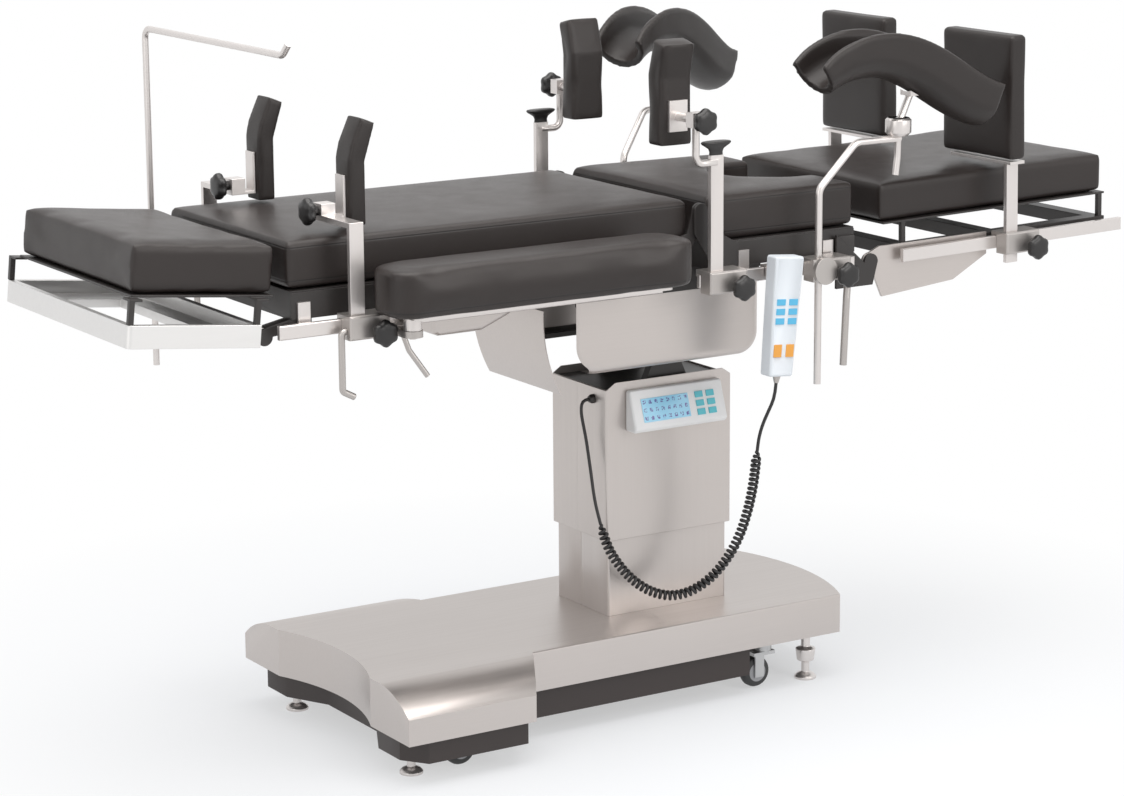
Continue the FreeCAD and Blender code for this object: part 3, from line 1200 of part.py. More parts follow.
def cords(relief_end):
    """Pendant cord: a plain lead from the column, a coiled run, and a plain tail."""
    x = float(d.column_x - d.lower_length / 2 - d.sleeve_clearance - d.sleeve_wall) - 10
    y, z = -float(d.gland_y), float(d.gland_z)
    lead = [(x, y, z), (x - 14, y, z), (x - 19, y - 1, 588), (x - 15, y - 2, 562), (x - 10, y - 5, 532),
            (x - 10, -66, 498), (x - 12.5, -79, 464), (x - 15.5, -91, 434), (x - 16.5, -101, 408)]
    curl = [lead[-1], beyond(lead[-2], lead[-1], 34), (-53, -122, 334), (-32, -132, 294), (-6, -144, 261),
            (27, -156, 236), (67, -170, 224), (107, -184, 233), (141, -198, 258), (168, -212, 295),
            (186, -226, 340), (195, -240, 392), (198, -252, 442), (197, -262, 490)]
    lean = math.radians(float(d.pendant_lean))
    under = relief_end - V(math.sin(lean), 0, math.cos(lean)) * 27
    tail = [curl[-1], beyond(curl[-2], curl[-1], 27), (192, -278, 543), (191, -291, 571), (195, -304, 599),
            tuple(under), tuple(relief_end)]
    cord("cord_lead", lead, d.cord_radius)
    cord("cord_curl", curl, d.curl_radius)
    cord("cord_tail", tail, d.cord_radius)


def save():
    doc.recompute()
    for obj in doc.Objects:
        bad = [s for s in obj.State if s in ("Invalid", "Error")]
        if bad:
            raise RuntimeError("%s (%s): %s" % (obj.Name, obj.Label, bad))
        if obj.TypeId in ("PartDesign::Pocket", "PartDesign::Groove"):
            before = obj.BaseFeature.Shape.Volume
            if not obj.Shape.Volume < before - 1e-3:
                raise RuntimeError("%s cuts nothing in %s" % (obj.Name,
                                                              obj.getParentGeoFeatureGroup().Name))
    os.makedirs("parts", exist_ok=True)
    for label, obj in nodes.items():
        shape = obj.Shape
        if shape.isNull() or not shape.isValid() or not shape.Solids:
            raise RuntimeError("bad shape: " + label)
        shape.exportStep("parts/" + label + ".step")
    print(len(nodes), "nodes")


base()
castors()
column()
tilt()
seat()
back()
head()
leg()
shoulder_supports()
body_supports()
foot_boards()
crutches()
screen()
arm_board()
relief_end = pendant()
panel_face()
cords(relief_end)
save()
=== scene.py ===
import bmesh
import bpy
import json
import math
from mathutils import Matrix, Vector


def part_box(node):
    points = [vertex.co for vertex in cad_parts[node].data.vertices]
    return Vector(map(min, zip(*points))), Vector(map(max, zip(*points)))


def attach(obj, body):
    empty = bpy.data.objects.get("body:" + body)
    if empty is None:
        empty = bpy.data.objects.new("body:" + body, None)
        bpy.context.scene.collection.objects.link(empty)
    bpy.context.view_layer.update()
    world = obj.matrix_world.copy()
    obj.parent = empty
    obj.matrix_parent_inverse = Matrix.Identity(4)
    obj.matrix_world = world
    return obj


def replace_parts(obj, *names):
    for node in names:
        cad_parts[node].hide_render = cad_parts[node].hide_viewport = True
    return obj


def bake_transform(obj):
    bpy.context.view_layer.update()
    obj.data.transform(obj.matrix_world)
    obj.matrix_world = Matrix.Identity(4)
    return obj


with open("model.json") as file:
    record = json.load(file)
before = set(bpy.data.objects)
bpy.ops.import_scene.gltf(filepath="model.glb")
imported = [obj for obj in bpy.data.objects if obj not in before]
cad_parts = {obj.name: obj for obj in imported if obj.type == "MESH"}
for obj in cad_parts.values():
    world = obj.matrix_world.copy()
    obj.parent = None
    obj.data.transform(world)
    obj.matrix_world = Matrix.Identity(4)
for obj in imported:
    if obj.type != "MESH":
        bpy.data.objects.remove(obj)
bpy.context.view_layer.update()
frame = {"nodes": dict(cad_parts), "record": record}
nodes = frame["nodes"]
rides_on = {node: body for body, held in frame["record"]["behaviour"]["bodies"].items() for node in held}

# The table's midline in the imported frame.
MIDLINE = -0.060
scene = bpy.context.scene


# Studio
# A pale level floor that runs into a white backdrop, lit softly from above and from the front, so that
# the steel stays light and the floor keeps a faint cool shadow.

class Value:
    """A shader value; + - * with numbers or other values add the Math nodes."""

    def __init__(self, finish, socket):
        self.finish, self.socket = finish, socket

    def _math(self, operation, a, b):
        return self.finish.add("ShaderNodeMath", {"operation": operation}, {0: a, 1: b})

    def __add__(self, other):
        return self._math("ADD", self, other)

    def __radd__(self, other):
        return self._math("ADD", other, self)

    def __sub__(self, other):
        return self._math("SUBTRACT", self, other)

    def __rsub__(self, other):
        return self._math("SUBTRACT", other, self)

    def __mul__(self, other):
        return self._math("MULTIPLY", self, other)

    def __rmul__(self, other):
        return self._math("MULTIPLY", other, self)

    def _ramp(self, edge, soft, first, last):
        return self.finish.add("ShaderNodeMapRange", {"clamp": True},
                               {"Value": self, "From Min": edge - soft, "From Max": edge + soft,
                                "To Min": first, "To Max": last})

    def below(self, edge, soft=0.0005):
        """1 where the value is under edge, turning to 0 over soft."""
        return self._ramp(edge, soft, 1.0, 0.0)

    def above(self, edge, soft=0.0005):
        """1 where the value is over edge, turning to 0 over soft."""
        return self._ramp(edge, soft, 0.0, 1.0)


class Finish:
    """A material in the making: add() places a node, set() fills a socket of its surface shader."""

    def __init__(self, name):
        self.material = bpy.data.materials.new(name)
        self.material.use_nodes = True
        self.tree = self.material.node_tree
        self.shader = self.tree.nodes["Principled BSDF"]

    def fill(self, socket, value):
        if isinstance(value, Value):
            self.tree.links.new(value.socket, socket)
        else:
            socket.default_value = value

    def add(self, kind, settings=None, sockets=None, output=0):
        node = self.tree.nodes.new(kind)
        for name, value in (settings or {}).items():
            setattr(node, name, value)
        for name, value in (sockets or {}).items():
            self.fill(node.inputs[name], value)
        return Value(self, node.outputs[output])

    def place(self):
        return self.add("ShaderNodeTexCoord", output="Object")

    def axis(self, name):
        return self.add("ShaderNodeSeparateXYZ", None, {0: self.place()}, output=name)

    def stretched(self, scale):
        return self.add("ShaderNodeMapping", None, {"Vector": self.place(), "Scale": scale})

    def noise(self, scale, detail=2.0, vector=None, rough=0.5):
        return self.add("ShaderNodeTexNoise", None, {"Vector": vector or self.place(), "Scale": scale,
                                                     "Detail": detail, "Roughness": rough})

    def mix(self, factor, a, b):
        """A colour mix; a and b are colours or values."""
        node = self.tree.nodes.new("ShaderNodeMix")
        node.data_type = "RGBA"
        for index, value in ((0, factor), (6, a), (7, b)):
            plain = isinstance(value, (Value, float, int))
            self.fill(node.inputs[index], value if plain else (*value, 1.0))
        return Value(self, node.outputs[2])

    def bump(self, height, distance, strength=1.0):
        return self.add("ShaderNodeBump", None,
                        {"Height": height, "Distance": distance, "Strength": strength})

    def set(self, **sockets):
        for name, value in sockets.items():
            socket = self.shader.inputs[name.replace("_", " ")]
            if isinstance(value, tuple):
                value = (*value, 1.0)
            self.fill(socket, value)
        return self.material


floor_finish = Finish("pale_floor")
shadow_radius, fade, least_paper = 1.0, 0.6, 0.5
far = floor_finish.add("ShaderNodeVectorMath", {"operation": "LENGTH"}, {0: floor_finish.place()},
                       output="Value")
paper = floor_finish.add("ShaderNodeEmission", None, {"Color": (1, 1, 1, 1), "Strength": 1.0})
matt = Value(floor_finish, floor_finish.shader.outputs[0])
blank = floor_finish.add("ShaderNodeMixShader", None,
                         {0: far.above(shadow_radius, fade) * (1 - least_paper) + least_paper,
                          1: matt, 2: paper})
floor_finish.fill(floor_finish.tree.nodes["Material Output"].inputs["Surface"], blank)
floor_finish.set(Base_Color=(0.88, 0.91, 0.95), Roughness=0.9)
bpy.ops.mesh.primitive_grid_add(size=60)
floor = bpy.context.object
floor.name = "floor"
floor.data.materials.append(floor_finish.material)

world = bpy.data.worlds.new("studio")
scene.world = world
world.use_nodes = True
sky = world.node_tree
rays = sky.nodes.new("ShaderNodeLightPath")
seen = None
for ray in ("Is Camera Ray", "Is Glossy Ray", "Is Transmission Ray"):
    if seen is None:
        seen = rays.outputs[ray]
        continue
    most = sky.nodes.new("ShaderNodeMath")
    most.operation = "MAXIMUM"
    sky.links.new(seen, most.inputs[0])
    sky.links.new(rays.outputs[ray], most.inputs[1])
    seen = most.outputs[0]
light, white = sky.nodes["Background"], sky.nodes.new("ShaderNodeBackground")
light.inputs["Color"].default_value = (0.90, 0.94, 1.0, 1)
light.inputs["Strength"].default_value = 0.42
white.inputs["Color"].default_value = (1, 1, 1, 1)
both = sky.nodes.new("ShaderNodeMixShader")
sky.links.new(seen, both.inputs[0])
sky.links.new(light.outputs[0], both.inputs[1])
sky.links.new(white.outputs[0], both.inputs[2])
sky.links.new(both.outputs[0], sky.nodes["World Output"].inputs["Surface"])

for name, place, aim, size, power in (("overhead", (-0.4, -0.6, 3.6), (0, 0, 0.4), 3.4, 118.0),
                                      ("front", (1.6, -4.2, 2.6), (0, 0, 0.7), 2.4, 62.0),
                                      ("left_fill", (-4.2, -1.6, 1.9), (0, 0, 0.7), 2.2, 16.0)):
    lamp = bpy.data.lights.new(name, "AREA")
    lamp.size = size
    lamp.energy = power
    lamp.color = (1.0, 0.975, 0.95)
    holder = bpy.data.objects.new(name, lamp)
    scene.collection.objects.link(holder)
    holder.location = place
    holder.rotation_euler = (Vector(aim) - Vector(place)).to_track_quat("-Z", "Y").to_euler()

# Camera: a long lens, a little above the tabletop and to the head end of the near side.
yaw, pitch, roll = 0.559, -0.219, -0.007
camera_place = (-3.25724, -5.08900 + MIDLINE, 1.93817)
focal_length_pixels, picture_width_pixels, sensor_width = 3199.03, 1124, 36
look = Vector((math.sin(yaw) * math.cos(pitch), math.cos(yaw) * math.cos(pitch), math.sin(pitch)))
level = Vector((math.cos(yaw), -math.sin(yaw), 0))
rise = level.cross(look)
right = level * math.cos(roll) + rise * math.sin(roll)
upward = rise * math.cos(roll) - level * math.sin(roll)
lens = bpy.data.cameras.new("camera")
lens.sensor_width = sensor_width
lens.lens = focal_length_pixels / picture_width_pixels * sensor_width
lens.clip_end = 60
camera = bpy.data.objects.new("camera", lens)
scene.collection.objects.link(camera)
turn = Matrix((right, upward, -look)).transposed()
camera.matrix_world = Matrix.Translation(camera_place) @ turn.to_4x4()
scene.camera = camera
scene.view_settings.view_transform = "Standard"


# Stainless sheet and black steel
# The column's covers, the base cover, the tilt housing and the drive cover are folded or drawn from
# brushed stainless sheet; the chassis and frames below are steel with a black satin paint.

def brushed(name, colour, along=(3, 260, 260), rough=0.34, grain=0.06, contrast=1.0):
    """Satin stainless, brushed along the direction in which along is smallest."""
    finish = Finish(name)
    strokes = finish.noise(1.0, 3.0, finish.stretched(along), 0.65)
    cloud = finish.noise(2.2, 2.0)
    tone = finish.mix(cloud * 0.55, [c * 0.90 for c in colour], [min(c * 1.06, 1) for c in colour])
    shade = finish.mix(strokes * (0.22 * contrast), tone, [c * 0.78 for c in colour])
    return finish.set(Base_Color=shade, Metallic=0.82,
                      Roughness=rough + (strokes - 0.5) * (0.22 * contrast),
                      Normal=finish.bump(strokes, 0.00006, grain * 4))


def painted(name, colour, rough=0.42):
    """Satin paint or smooth plastic, a little worn, with a fine orange peel."""
    finish = Finish(name)
    orange_peel = finish.noise(420, 2.0)
    wear = finish.noise(9, 3.0)
    return finish.set(Base_Color=finish.mix(wear * 0.5, colour, [c * 1.6 + 0.004 for c in colour]),
                      Roughness=rough + (wear - 0.5) * 0.2,
                      Normal=finish.bump(orange_peel, 0.00008, 0.25))


sheet_steel = brushed("brushed_stainless", (0.60, 0.555, 0.53))
column_steel = brushed("column_stainless", (0.60, 0.555, 0.53), along=(260, 260, 3))
bright_steel = brushed("ground_stainless", (0.74, 0.70, 0.68), along=(14, 14, 14), rough=0.3, grain=0.002,
                       contrast=0.25)
cast_steel = brushed("cast_clamp_metal", (0.50, 0.47, 0.45), along=(60, 60, 60), rough=0.36)
black_paint = painted("black_frame_paint", (0.022, 0.019, 0.018))
chassis_paint = painted("chassis_paint", (0.030, 0.022, 0.020), 0.5)
head_metal = brushed("anodised_aluminium", (0.80, 0.79, 0.78), along=(3, 90, 90), rough=0.38, grain=0.02)
zinc = brushed("zinc_plate", (0.55, 0.55, 0.55), along=(30, 30, 30), rough=0.4)


def shown_mesh(thing):
    """A new mesh of the object as its modifiers and curve settings shape it."""
    bpy.context.view_layer.update()
    graph = bpy.context.evaluated_depsgraph_get()
    return bpy.data.meshes.new_from_object(thing.evaluated_get(graph))


def islands(shape):
    """The separate solids of a joined mesh, each as its faces and its lowest and highest corner.

    They come in the order of the mesh's faces, so that each run gives like pieces the same numbers."""
    left, found = set(shape.faces), []
    for start in shape.faces:
        if start not in left:
            continue
        left.remove(start)
        faces, edge = [start], [start]
        while edge:
            face = edge.pop()
            for loop in face.loops:
                for near in loop.edge.link_faces:
                    if near in left:
                        left.remove(near)
                        faces.append(near)
                        edge.append(near)
        points = [v.co for face in faces for v in face.verts]
        found.append((faces, Vector([min(p[i] for p in points) for i in range(3)]),
                      Vector([max(p[i] for p in points) for i in range(3)])))
    return found


def joined(node):
    """A CAD node's solids with their loose triangles merged into whole faces."""
    shape = bmesh.new()
    shape.from_mesh(nodes[node].data)
    bmesh.ops.remove_doubles(shape, verts=shape.verts, dist=2e-6)
    bmesh.ops.dissolve_limit(shape, angle_limit=math.radians(0.4), verts=shape.verts, edges=shape.edges)
    return shape


def piece(name, shape, materials, body, smooth=35, bevel=0.0):
    """A mesh object from a bmesh, with soft bevelled edges, that rides on a body."""
    mesh = bpy.data.meshes.new(name)
    shape.to_mesh(mesh)
    shape.free()
    thing = bpy.data.objects.new(name, mesh)
    scene.collection.objects.link(thing)
    for material in materials:
        mesh.materials.append(material)
    for face in mesh.polygons:
        face.use_smooth = True
    mesh.set_sharp_from_angle(angle=math.radians(smooth))
    if bevel:
        round_off = thing.modifiers.new("soft_edges", "BEVEL")
        round_off.width = bevel
        round_off.segments = 2
        round_off.limit_method = "ANGLE"
        round_off.angle_limit = math.radians(smooth)
        round_off.harden_normals = True
    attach(thing, body)
    return thing


def dress(node, *finishes, bevel=0.0008, pick=None, drop=None):
    """The finished form of a rigid CAD node.

    pick(low, high) gives the number of each solid's finish, and drop(low, high) leaves solids out."""
    shape = joined(node)
    if pick or drop:
        for faces, low, high in islands(shape):
            if drop and drop(low, high):
                bmesh.ops.delete(shape, geom=faces, context="FACES")
                continue
            for face in faces:
                face.material_index = pick(low, high) if pick else 0
    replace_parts(piece("shown_" + node, shape, finishes, rides_on[node], bevel=bevel), node)


for node, finish, bevel in (
        ("base_cover", sheet_steel, 0.0012), ("base_chassis", chassis_paint, 0.002),
        ("column_lower_sleeve", column_steel, 0.0008), ("column_upper_sleeve", column_steel, 0.0008),
        ("tilt_housing", sheet_steel, 0.0008), ("tilt_shroud", sheet_steel, 0.0005),
        ("back_housing", sheet_steel, 0.002), ("lift_cylinder", bright_steel, 0.001),
        ("column_head", black_paint, 0.0012), ("tilt_yoke", black_paint, 0.0012),
        ("seat_frame", black_paint, 0.001), ("back_frame", black_paint, 0.001),
        ("leg_frame", black_paint, 0.001), ("head_frame", head_metal, 0.0012),
        ("head_panel", black_paint, 0.001), ("leg_hinge_plates", sheet_steel, 0.001),
        ("seat_rails", bright_steel, 0.0008), ("back_rails", bright_steel, 0.0008),
        ("leg_rails", bright_steel, 0.0008), ("levelling_feet", bright_steel, 0.001),
        ("drive_unit", chassis_paint, 0.002), ("arm_plate", bright_steel, 0.0008),
        ("arm_clamp", cast_steel, 0.0008)):
    dress(node, finish, bevel=bevel)
dress("column_front_cover", column_steel, black_paint, pick=lambda low, high: int(high.z - low.z < 0.05))


# Handset cord
# Black rubber cable: a straight lead out of the column's gland, a coiled middle that hangs in a U from
# its own weight, and a straight tail up into the handset's strain relief.
lead = [(-46, -52, 606), (-60, -52, 606), (-65, -53, 588), (-61, -54, 562), (-56, -57, 532),
        (-56, -66, 498), (-58.5, -79, 464), (-61.5, -91, 434), (-62.5, -101, 408)]
coil = [(-53, -122, 334), (-32, -132, 294), (-6, -144, 261), (27, -156, 236), (67, -170, 224),
        (107, -184, 233), (141, -198, 258), (168, -212, 295), (186, -226, 340), (195, -240, 392),
        (198, -252, 442), (197, -262, 490)]
tail = [(192, -278, 543), (191, -291, 571), (195, -304, 599), (202.8, -314.3, 627.9),
        (205.2, -314.3, 654.8)]
cord_radius, coil_radius, coil_pitch, turn_points = 0.0032, 0.0074, 0.0098, 10
lead_on, tail_back, coil_opening = 0.034, 0.027, 0.02
lead, coil, tail = ([Vector((x / 1000, y / 1000 + MIDLINE, z / 1000)) for x, y, z in part]
                    for part in (lead, coil, tail))


def spline_object(name, points, bevel=0.0, steps=3):
    """A curve object with one open NURBS line that ends at its first and last point."""
    curve = bpy.data.curves.new(name, "CURVE")
    curve.dimensions = "3D"
    line = curve.splines.new("NURBS")
    line.points.add(len(points) - 1)
    for point, place in zip(line.points, points):
        point.co = (*place, 1.0)
    line.order_u = 3
    line.use_endpoint_u = True
    curve.resolution_u = steps
    curve.bevel_depth = bevel
    curve.bevel_resolution = 3
    thing = bpy.data.objects.new(name, curve)
    scene.collection.objects.link(thing)
    return thing


def walk(points):
    """The polyline's points with their distance along it."""
    along, total = [(0.0, points[0])], 0.0
    for a, b in zip(points, points[1:]):
        total += (b - a).length
        along.append((total, b))
    return along


guide = spline_object("cord_guide", lead + coil + tail, steps=16)
route = walk([v.co.copy() for v in shown_mesh(guide).vertices])
bpy.data.objects.remove(guide)


def at(distance):
    """The route's place and direction at a distance along it."""
    for (a, p), (b, q) in zip(route, route[1:]):
        if distance <= b:
            return p.lerp(q, (distance - a) / max(b - a, 1e-9)), (q - p).normalized()
    return route[-1][1], (route[-1][1] - route[-2][1]).normalized()


def nearest(place):
    """The distance along the route of its point nearest to a place."""
    return min(route, key=lambda entry: (entry[1] - place).length)[0]


coil_start, coil_end = nearest(lead[-1]) + lead_on, nearest(coil[-1]) + tail_back
points = list(lead)
side = Vector((0, 1, 0))
steps = int((coil_end - coil_start) / coil_pitch * turn_points)
for index in range(steps + 1):
    distance = coil_start + (coil_end - coil_start) * index / steps
    place, ahead = at(distance)
    side = (side - ahead * side.dot(ahead)).normalized()
    across = ahead.cross(side)
    opening = min(1.0, (distance - coil_start) / coil_opening, (coil_end - distance) / coil_opening)
    angle = index * math.tau / turn_points
    spoke = side * math.cos(angle) + across * math.sin(angle)
    points.append(place + spoke * coil_radius * max(opening, 0.0))
points += tail
winding = spline_object("cord_winding", points, cord_radius, 3)
rubber = Finish("black_cord_rubber")
dust = rubber.noise(60, 3.0)
rubber.set(Base_Color=rubber.mix(dust * 0.5, (0.012, 0.011, 0.012), (0.03, 0.028, 0.028)),
           Roughness=0.42 + dust * 0.16, Normal=rubber.bump(rubber.noise(900, 1.0), 0.0001, 0.2))
winding.data.materials.append(rubber.material)

cord = bpy.data.objects.new("handset_cord", shown_mesh(winding))
scene.collection.objects.link(cord)
winding.data.bevel_depth = 0.0
centreline = [v.co.copy() for v in shown_mesh(winding).vertices]
bpy.data.objects.remove(winding)
cord_length = walk(centreline)[-1][0]
print("cord length", round(cord_length, 4))
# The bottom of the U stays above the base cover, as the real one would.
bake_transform(cord)
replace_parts(cord, "cord_lead", "cord_curl", "cord_tail")


# Upholstery
# Foam cushions under tight dark leatherette; the covers are pulled smooth over the foam, so each face
# swells a little between its corners.

def leatherette(name, seams=(), tone=1.0):
    """Smooth dark leatherette; seams are (axis, place) of sewn lines that run round the piece, each a
    bumped groove darkened with painted shade.
    """
    finish = Finish(name)
    grain = finish.add("ShaderNodeTexVoronoi", {"feature": "DISTANCE_TO_EDGE"},
                       {"Vector": finish.place(), "Scale": 620.0})
    cloud = finish.noise(3.0, 3.0)
    crease = finish.noise(26.0, 4.0)
    groove = None
    for axis, place in seams:
        value = finish.axis(axis) - place
        near = finish.add("ShaderNodeMath", {"operation": "ABSOLUTE"}, {0: value}).below(0.0011, 0.0007)
        groove = near if groove is None else finish.add("ShaderNodeMath", {"operation": "MAXIMUM"},
                                                        {0: groove, 1: near})
    shade = finish.mix(cloud * 0.6, [c * tone for c in (0.0215, 0.0165, 0.0150)],
                       [c * tone for c in (0.031, 0.0245, 0.0225)])
    pebbles = finish.add("ShaderNodeMath", {"operation": "MINIMUM"}, {0: grain * 14.0, 1: 0.6})
    height = pebbles + crease * 0.15
    if groove is not None:
        # Painted shade: the seam grooves are darkened, as shade would fall in them.
        shade = finish.mix(groove * 0.75, shade, (0.010, 0.009, 0.009))
        height = height - groove * 3.0
    return finish.set(Base_Color=shade, Roughness=0.38 + (cloud - 0.5) * 0.14 + (crease - 0.5) * 0.1,
                      Normal=finish.bump(height, 0.00018, 0.55), Specular_IOR_Level=0.38)


covers = []
cloth_steps = 20


def upholster(name, node, finish, voxel=0.006, shrink=0.0028, cap=0.006, keep=None, sole=True):
    """A padded piece from a node's soft solid, the one that keep picks, ready for its simulation.

    It starts shrink inside the solid, and its cover swells by at most cap. A sole stays flat."""
    shape = joined(node)
    if keep:
        for faces, low, high in islands(shape):
            if not keep(low, high):
                bmesh.ops.delete(shape, geom=faces, context="FACES")
    bmesh.ops.triangulate(shape, faces=shape.faces)
    foam = bpy.data.meshes.new(name + "_foam")
    shape.to_mesh(foam)
    shape.free()
    block = bpy.data.objects.new(name + "_foam", foam)
    scene.collection.objects.link(block)
    skin = block.modifiers.new("skin", "REMESH")
    skin.mode = "VOXEL"
    skin.voxel_size = voxel
    skin.use_smooth_shade = True
    mesh = shown_mesh(block)
    bpy.data.objects.remove(block)
    mesh.name = name
    outward = [v.normal.copy() for v in mesh.vertices]
    low = Vector([min(v.co[i] for v in mesh.vertices) for i in range(3)])
    for vertex, normal in zip(mesh.vertices, outward):
        vertex.co -= normal * shrink
    thing = bpy.data.objects.new(name, mesh)
    scene.collection.objects.link(thing)
    mesh.materials.clear()
    mesh.materials.append(finish)
    cloth = thing.modifiers.new("cover", "CLOTH")
    cloth.settings.use_pressure = True
    cloth.settings.uniform_pressure_force = 4
    cloth.settings.effector_weights.gravity = 0
    cloth.settings.quality = 4
    cloth.settings.tension_stiffness = 20
    cloth.settings.compression_stiffness = 20
    cloth.settings.bending_stiffness = 1.2
    cloth.collision_settings.use_collision = False
    cloth.point_cache.frame_end = cloth_steps
    covers.append((thing, cap, low if sole else None, rides_on[node]))
    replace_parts(thing, node)


cushion_bottom, cushion_top, arm_pad_bottom = 0.921, 1.009, 0.878
seam_set = [("Z", cushion_bottom + 0.016), ("Z", cushion_top - 0.014)]
upholster("seat_pad", "seat_cushion", leatherette("seat_leatherette", seam_set), voxel=0.007)
upholster("back_pad", "back_cushion", leatherette("back_leatherette", seam_set), voxel=0.008, cap=0.004)
upholster("leg_pad", "leg_cushion", leatherette("leg_leatherette"), voxel=0.007, sole=False)
upholster("head_pad", "head_cushion", leatherette("head_leatherette"), voxel=0.007, sole=False)
upholster("arm_board_pad", "arm_pad", leatherette("arm_leatherette", [("Z", arm_pad_bottom + 0.012)]))


def is_gutter(low, high):
    """Whether a leg holder's solid is its padded gutter."""
    return (high - low).length > 0.3


def is_foot_pad(low, high):
    """Whether a foot board's solid is its pad, the only thick one."""
    return min(high - low) > 0.040


def is_shoulder_pad(low, high):
    """Whether a shoulder support's solid is its pad, the only thick one."""
    return min(high - low) > 0.050


dark = leatherette("support_leatherette", tone=0.8)
for side in ("near", "far"):
    for name, node, voxel, shrink, keep in (
            ("body_support_pad_", "body_pad_", 0.004, 0.0015, None),
            ("leg_gutter_", "crutch_gutter_", 0.005, 0.0012, is_gutter),
            ("foot_pad_", "foot_board_", 0.005, 0.0015, is_foot_pad),
            ("shoulder_pad_", "shoulder_support_", 0.004, 0.002, is_shoulder_pad)):
        upholster(name + side, node + side, dark, voxel=voxel, shrink=shrink, cap=0.002, sole=False,
                  keep=keep)

# The covers settle together as cloth under pressure. Each cover's swelling is then evened out over
# neighbouring points, so that it has no lumps, and becomes its piece's mesh.
for step in range(1, cloth_steps + 1):
    scene.frame_set(step)
evenings = 10
reached = bpy.context.evaluated_depsgraph_get()
for thing, cap, sole, body in covers:
    start = [v.co.copy() for v in thing.data.vertices]
    settled = bpy.data.meshes.new_from_object(thing.evaluated_get(reached))
    moves = [after.co - before for before, after in zip(start, settled.vertices)]
    for evening in range(evenings):
        sums, counts = [move.copy() for move in moves], [1] * len(moves)
        for edge in thing.data.edges:
            a, b = edge.vertices
            sums[a] += moves[b]
            sums[b] += moves[a]
            counts[a] += 1
            counts[b] += 1
        moves = [total / count for total, count in zip(sums, counts)]
    for vertex, before, move in zip(thing.data.vertices, start, moves):
        if move.length > cap:
            move *= cap / move.length
        vertex.co = before + move
        if sole and vertex.co.z < sole.z:
            vertex.co.z = sole.z
    bpy.data.meshes.remove(settled)
    thing.modifiers.clear()
    for face in thing.data.polygons:
        face.use_smooth = True
    finer = thing.modifiers.new("finer", "SUBSURF")
    finer.levels = finer.render_levels = 1
    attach(thing, body)
scene.frame_set(1)


# Clamps, knobs and supports
# Rail clamps are cast and ground metal with black plastic hand knobs; support bars, rods and cups are
# ground steel, and the tee handle on each lateral support is black plastic.
black_plastic = painted("black_knob_plastic", (0.014, 0.013, 0.013), 0.34)
knob_depth, knob_width, knob_points = 0.029, 0.050, 48


def is_knob(low, high):
    """Whether a solid is a plain hand knob, by its depth and width."""
    size = sorted(high - low)
    return abs(size[0] - knob_depth) < 0.001 and abs(size[2] - knob_width) < 0.001


def skinned(rings):
    """A closed shape through rings of points, with a flat face at each end."""
    shape = bmesh.new()
    rings = [[shape.verts.new(place) for place in ring] for ring in rings]
    for lower, upper in zip(rings, rings[1:]):
        for i in range(len(lower)):
            after = (i + 1) % len(lower)
            shape.faces.new((lower[i], lower[after], upper[after], upper[i]))
    shape.faces.new(rings[0][::-1])
    shape.faces.new(rings[-1])
    bmesh.ops.recalc_face_normals(shape, faces=shape.faces)
    return shape


def lobed_knob(name, node, low, high):
    """A six-lobed hand knob in the place of a plain one; its neck is towards the clamp."""
    size, centre = high - low, (low + high) / 2
    axis = min(range(3), key=lambda i: size[i])
    outward = Vector((-1, 0, 0)) if axis == 0 else Vector((0, -1 if centre.y < MIDLINE else 1, 0))
    first, second = Vector((0, 0, 1)), outward.cross(Vector((0, 0, 1)))
    profile = ((0, 0.0085, 0), (0.008, 0.0095, 0), (0.011, 0.017, 0.10), (0.0135, 0.0232, 0.13),
               (0.017, 0.0248, 0.14), (0.023, 0.0246, 0.14), (0.0268, 0.0222, 0.12),
               (0.0286, 0.0165, 0.08), (knob_depth, 0.008, 0.0))
    rings = []
    for height, radius, lobes in profile:
        ring = []
        for index in range(knob_points):
            angle = index * math.tau / knob_points
            reach = radius * (1 - lobes * (0.5 - 0.5 * math.cos(6 * angle)))
            spoke = first * math.cos(angle) + second * math.sin(angle)
            ring.append(centre + outward * (height - knob_depth / 2) + spoke * reach)
        rings.append(ring)
    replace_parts(piece(name, skinned(rings), [black_plastic], rides_on[node], smooth=50), node)


def is_tee(low, high):
    """Whether a lateral support's solid is its tee handle."""
    return (high - low).z < 0.03 and not is_knob(low, high)


def flared_cap(name, node, low, high):
    """The tee handle on top of a lateral support: a cap that flares from a neck to a rounded oval top."""
    half, centre = (high - low) / 2, (low + high) / 2
    profile = ((-1.0, 0.46), (-0.55, 0.44), (-0.1, 0.52), (0.25, 0.74), (0.5, 0.92), (0.68, 0.99),
               (0.82, 1.0), (0.94, 0.94), (1.0, 0.78))
    squareness, cap_points = 0.8, 44
    rings = []
    for height, spread in profile:
        ring = []
        for index in range(cap_points):
            angle = index * math.tau / cap_points
            across, along = math.cos(angle), math.sin(angle)
            place = Vector((math.copysign(abs(across) ** squareness, across) * half.x * spread,
                            math.copysign(abs(along) ** squareness, along) * half.y * spread,
                            half.z * height))
            ring.append(centre + place)
        rings.append(ring)
    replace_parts(piece(name, skinned(rings), [black_plastic], rides_on[node], smooth=50), node)


def knobs_of(node):
    """A lobed knob for each plain one among a node's solids."""
    shape = joined(node)
    count = 0
    for faces, low, high in islands(shape):
        if is_knob(low, high):
            count += 1
            lobed_knob("knob_%s_%d" % (node, count), node, low, high)
    shape.free()


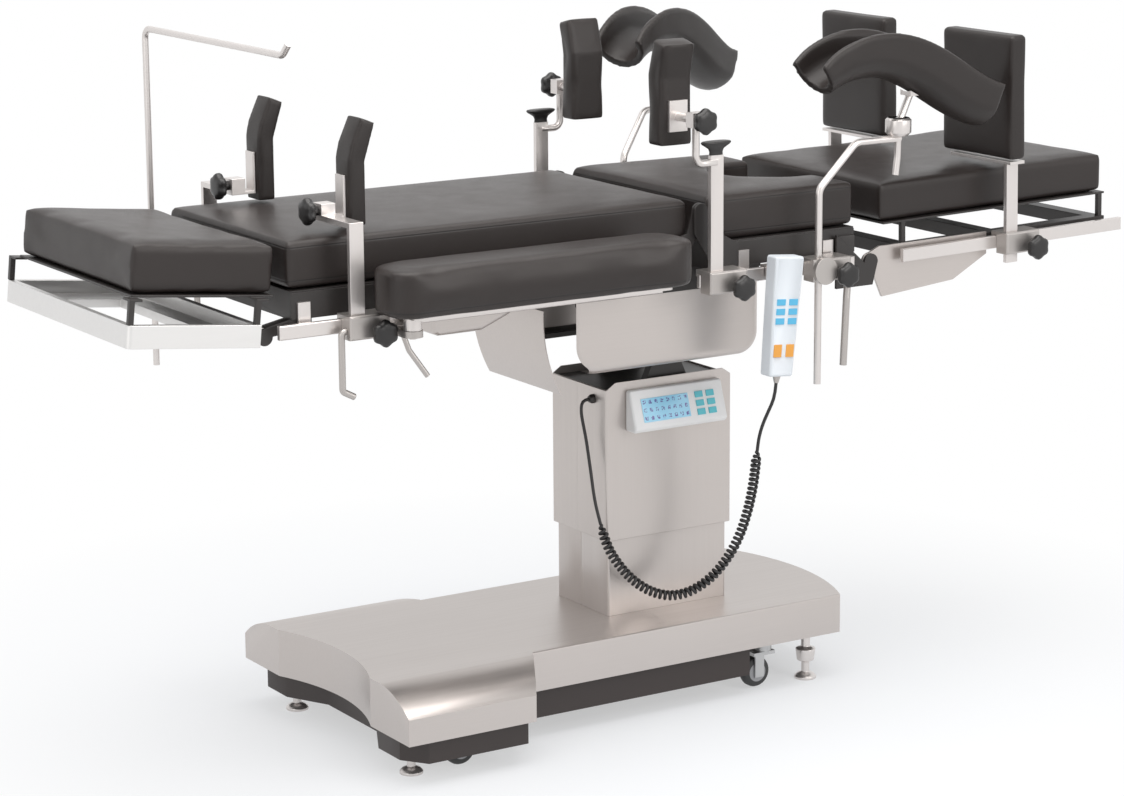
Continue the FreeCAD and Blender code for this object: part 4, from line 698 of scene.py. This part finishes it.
for node in ("back_rail_clamps", "crutch_clamps", "support_clamps", "foot_clamps"):
    dress(node, cast_steel, bevel=0.0012, drop=is_knob)
    knobs_of(node)
for side in ("near", "far"):
    dress("shoulder_support_" + side, bright_steel,
          drop=lambda low, high: is_knob(low, high) or is_shoulder_pad(low, high))
    knobs_of("shoulder_support_" + side)
    dress("body_support_" + side, bright_steel, bevel=0.0012,
          drop=lambda low, high: is_knob(low, high) or is_tee(low, high))
    knobs_of("body_support_" + side)
    shape = joined("body_support_" + side)
    for faces, low, high in islands(shape):
        if is_tee(low, high):
            flared_cap("tee_handle_" + side, "body_support_" + side, low, high)
    shape.free()
    dress("crutch_rod_" + side, bright_steel)
    dress("crutch_gutter_" + side, bright_steel, drop=is_gutter)
    dress("foot_board_" + side, bright_steel, drop=is_foot_pad)
dress("screen_rod", bright_steel, bevel=0)


# Handset, control panel and castors
# The handset and panel are moulded pale grey plastic with coloured membrane keys; the castors have rubber
# tyres on grey nylon hubs in plated forks.

def moulded(name, colour, rough=0.45):
    """Moulded plastic with a faint mottle and a fine grain."""
    finish = Finish(name)
    mottle = finish.noise(14, 2.0)
    fine = finish.noise(700, 2.0)
    return finish.set(Base_Color=finish.mix(mottle * 0.35, colour, [c * 0.93 for c in colour]),
                      Roughness=rough + (mottle - 0.5) * 0.1, Normal=finish.bump(fine, 0.00006, 0.3))


pale_shell = moulded("pale_grey_shell", (0.70, 0.74, 0.78))
white_shell = moulded("white_panel_shell", (0.78, 0.78, 0.78))
blue_key = moulded("blue_key", (0.10, 0.46, 0.72), 0.35)
orange_key = moulded("orange_key", (0.80, 0.36, 0.06), 0.35)
teal_key = moulded("teal_key", (0.08, 0.48, 0.56), 0.35)


def pendant_part(low, high):
    """The number of the finish of a handset's solid: shell, hook, blue key or orange key."""
    size = high - low
    if size.z > 0.1 or max(size) < 0.003:
        return 0
    if 0.018 < size.x < 0.022 and size.y < 0.004:
        return 2 if size.z < 0.018 else 3
    return 1


dress("pendant", pale_shell, cast_steel, blue_key, orange_key, bevel=0.0012, pick=pendant_part)
dress("control_panel", white_shell, bevel=0.003)

screen_face = Finish("status_display")
first_x, first_z, column_step, row_step = 0.030, 0.5644, 0.0135, 0.0148
wide = (screen_face.axis("X") - first_x) * (1 / column_step)
tall = (screen_face.axis("Z") - first_z) * (1 / row_step)
column = screen_face.add("ShaderNodeMath", {"operation": "FRACT"}, {0: wide})
row = screen_face.add("ShaderNodeMath", {"operation": "FRACT"}, {0: tall})
sign = column.above(0.24, 0.03) * column.below(0.76, 0.03) * row.above(0.26, 0.03) * row.below(0.74, 0.03)
broken = screen_face.noise(330, 1.0).above(0.5, 0.05)
screen_face.set(Base_Color=screen_face.mix(sign * broken, (0.30, 0.62, 0.82), (0.10, 0.08, 0.30)),
                Roughness=0.16)
dress("panel_display", screen_face.material, teal_key, bevel=0.0006,
      pick=lambda low, high: int((high - low).x < 0.05))

hub_radius = 0.019
for number in range(1, 5):
    dress("caster_fork_%d" % number, zinc)
    low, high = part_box("caster_wheel_%d" % number)
    middle = [(low[i] + high[i]) / 2 for i in range(3)]
    tyre = Finish("tyre_and_hub_%d" % number)
    dx, dz = tyre.axis("X") - middle[0], tyre.axis("Z") - middle[2]
    radius = tyre.add("ShaderNodeMath", {"operation": "SQRT"}, {0: dx * dx + dz * dz})
    scuff = tyre.noise(90, 3.0)
    black_rubber = tyre.mix(scuff * 0.5, (0.03, 0.03, 0.03), (0.07, 0.07, 0.07))
    tyre.set(Base_Color=tyre.mix(radius.below(hub_radius, 0.0004), black_rubber, (0.34, 0.34, 0.35)),
             Roughness=0.5 + scuff * 0.2, Normal=tyre.bump(scuff, 0.0002, 0.3))
    dress("caster_wheel_%d" % number, tyre.material, bevel=0.0006)
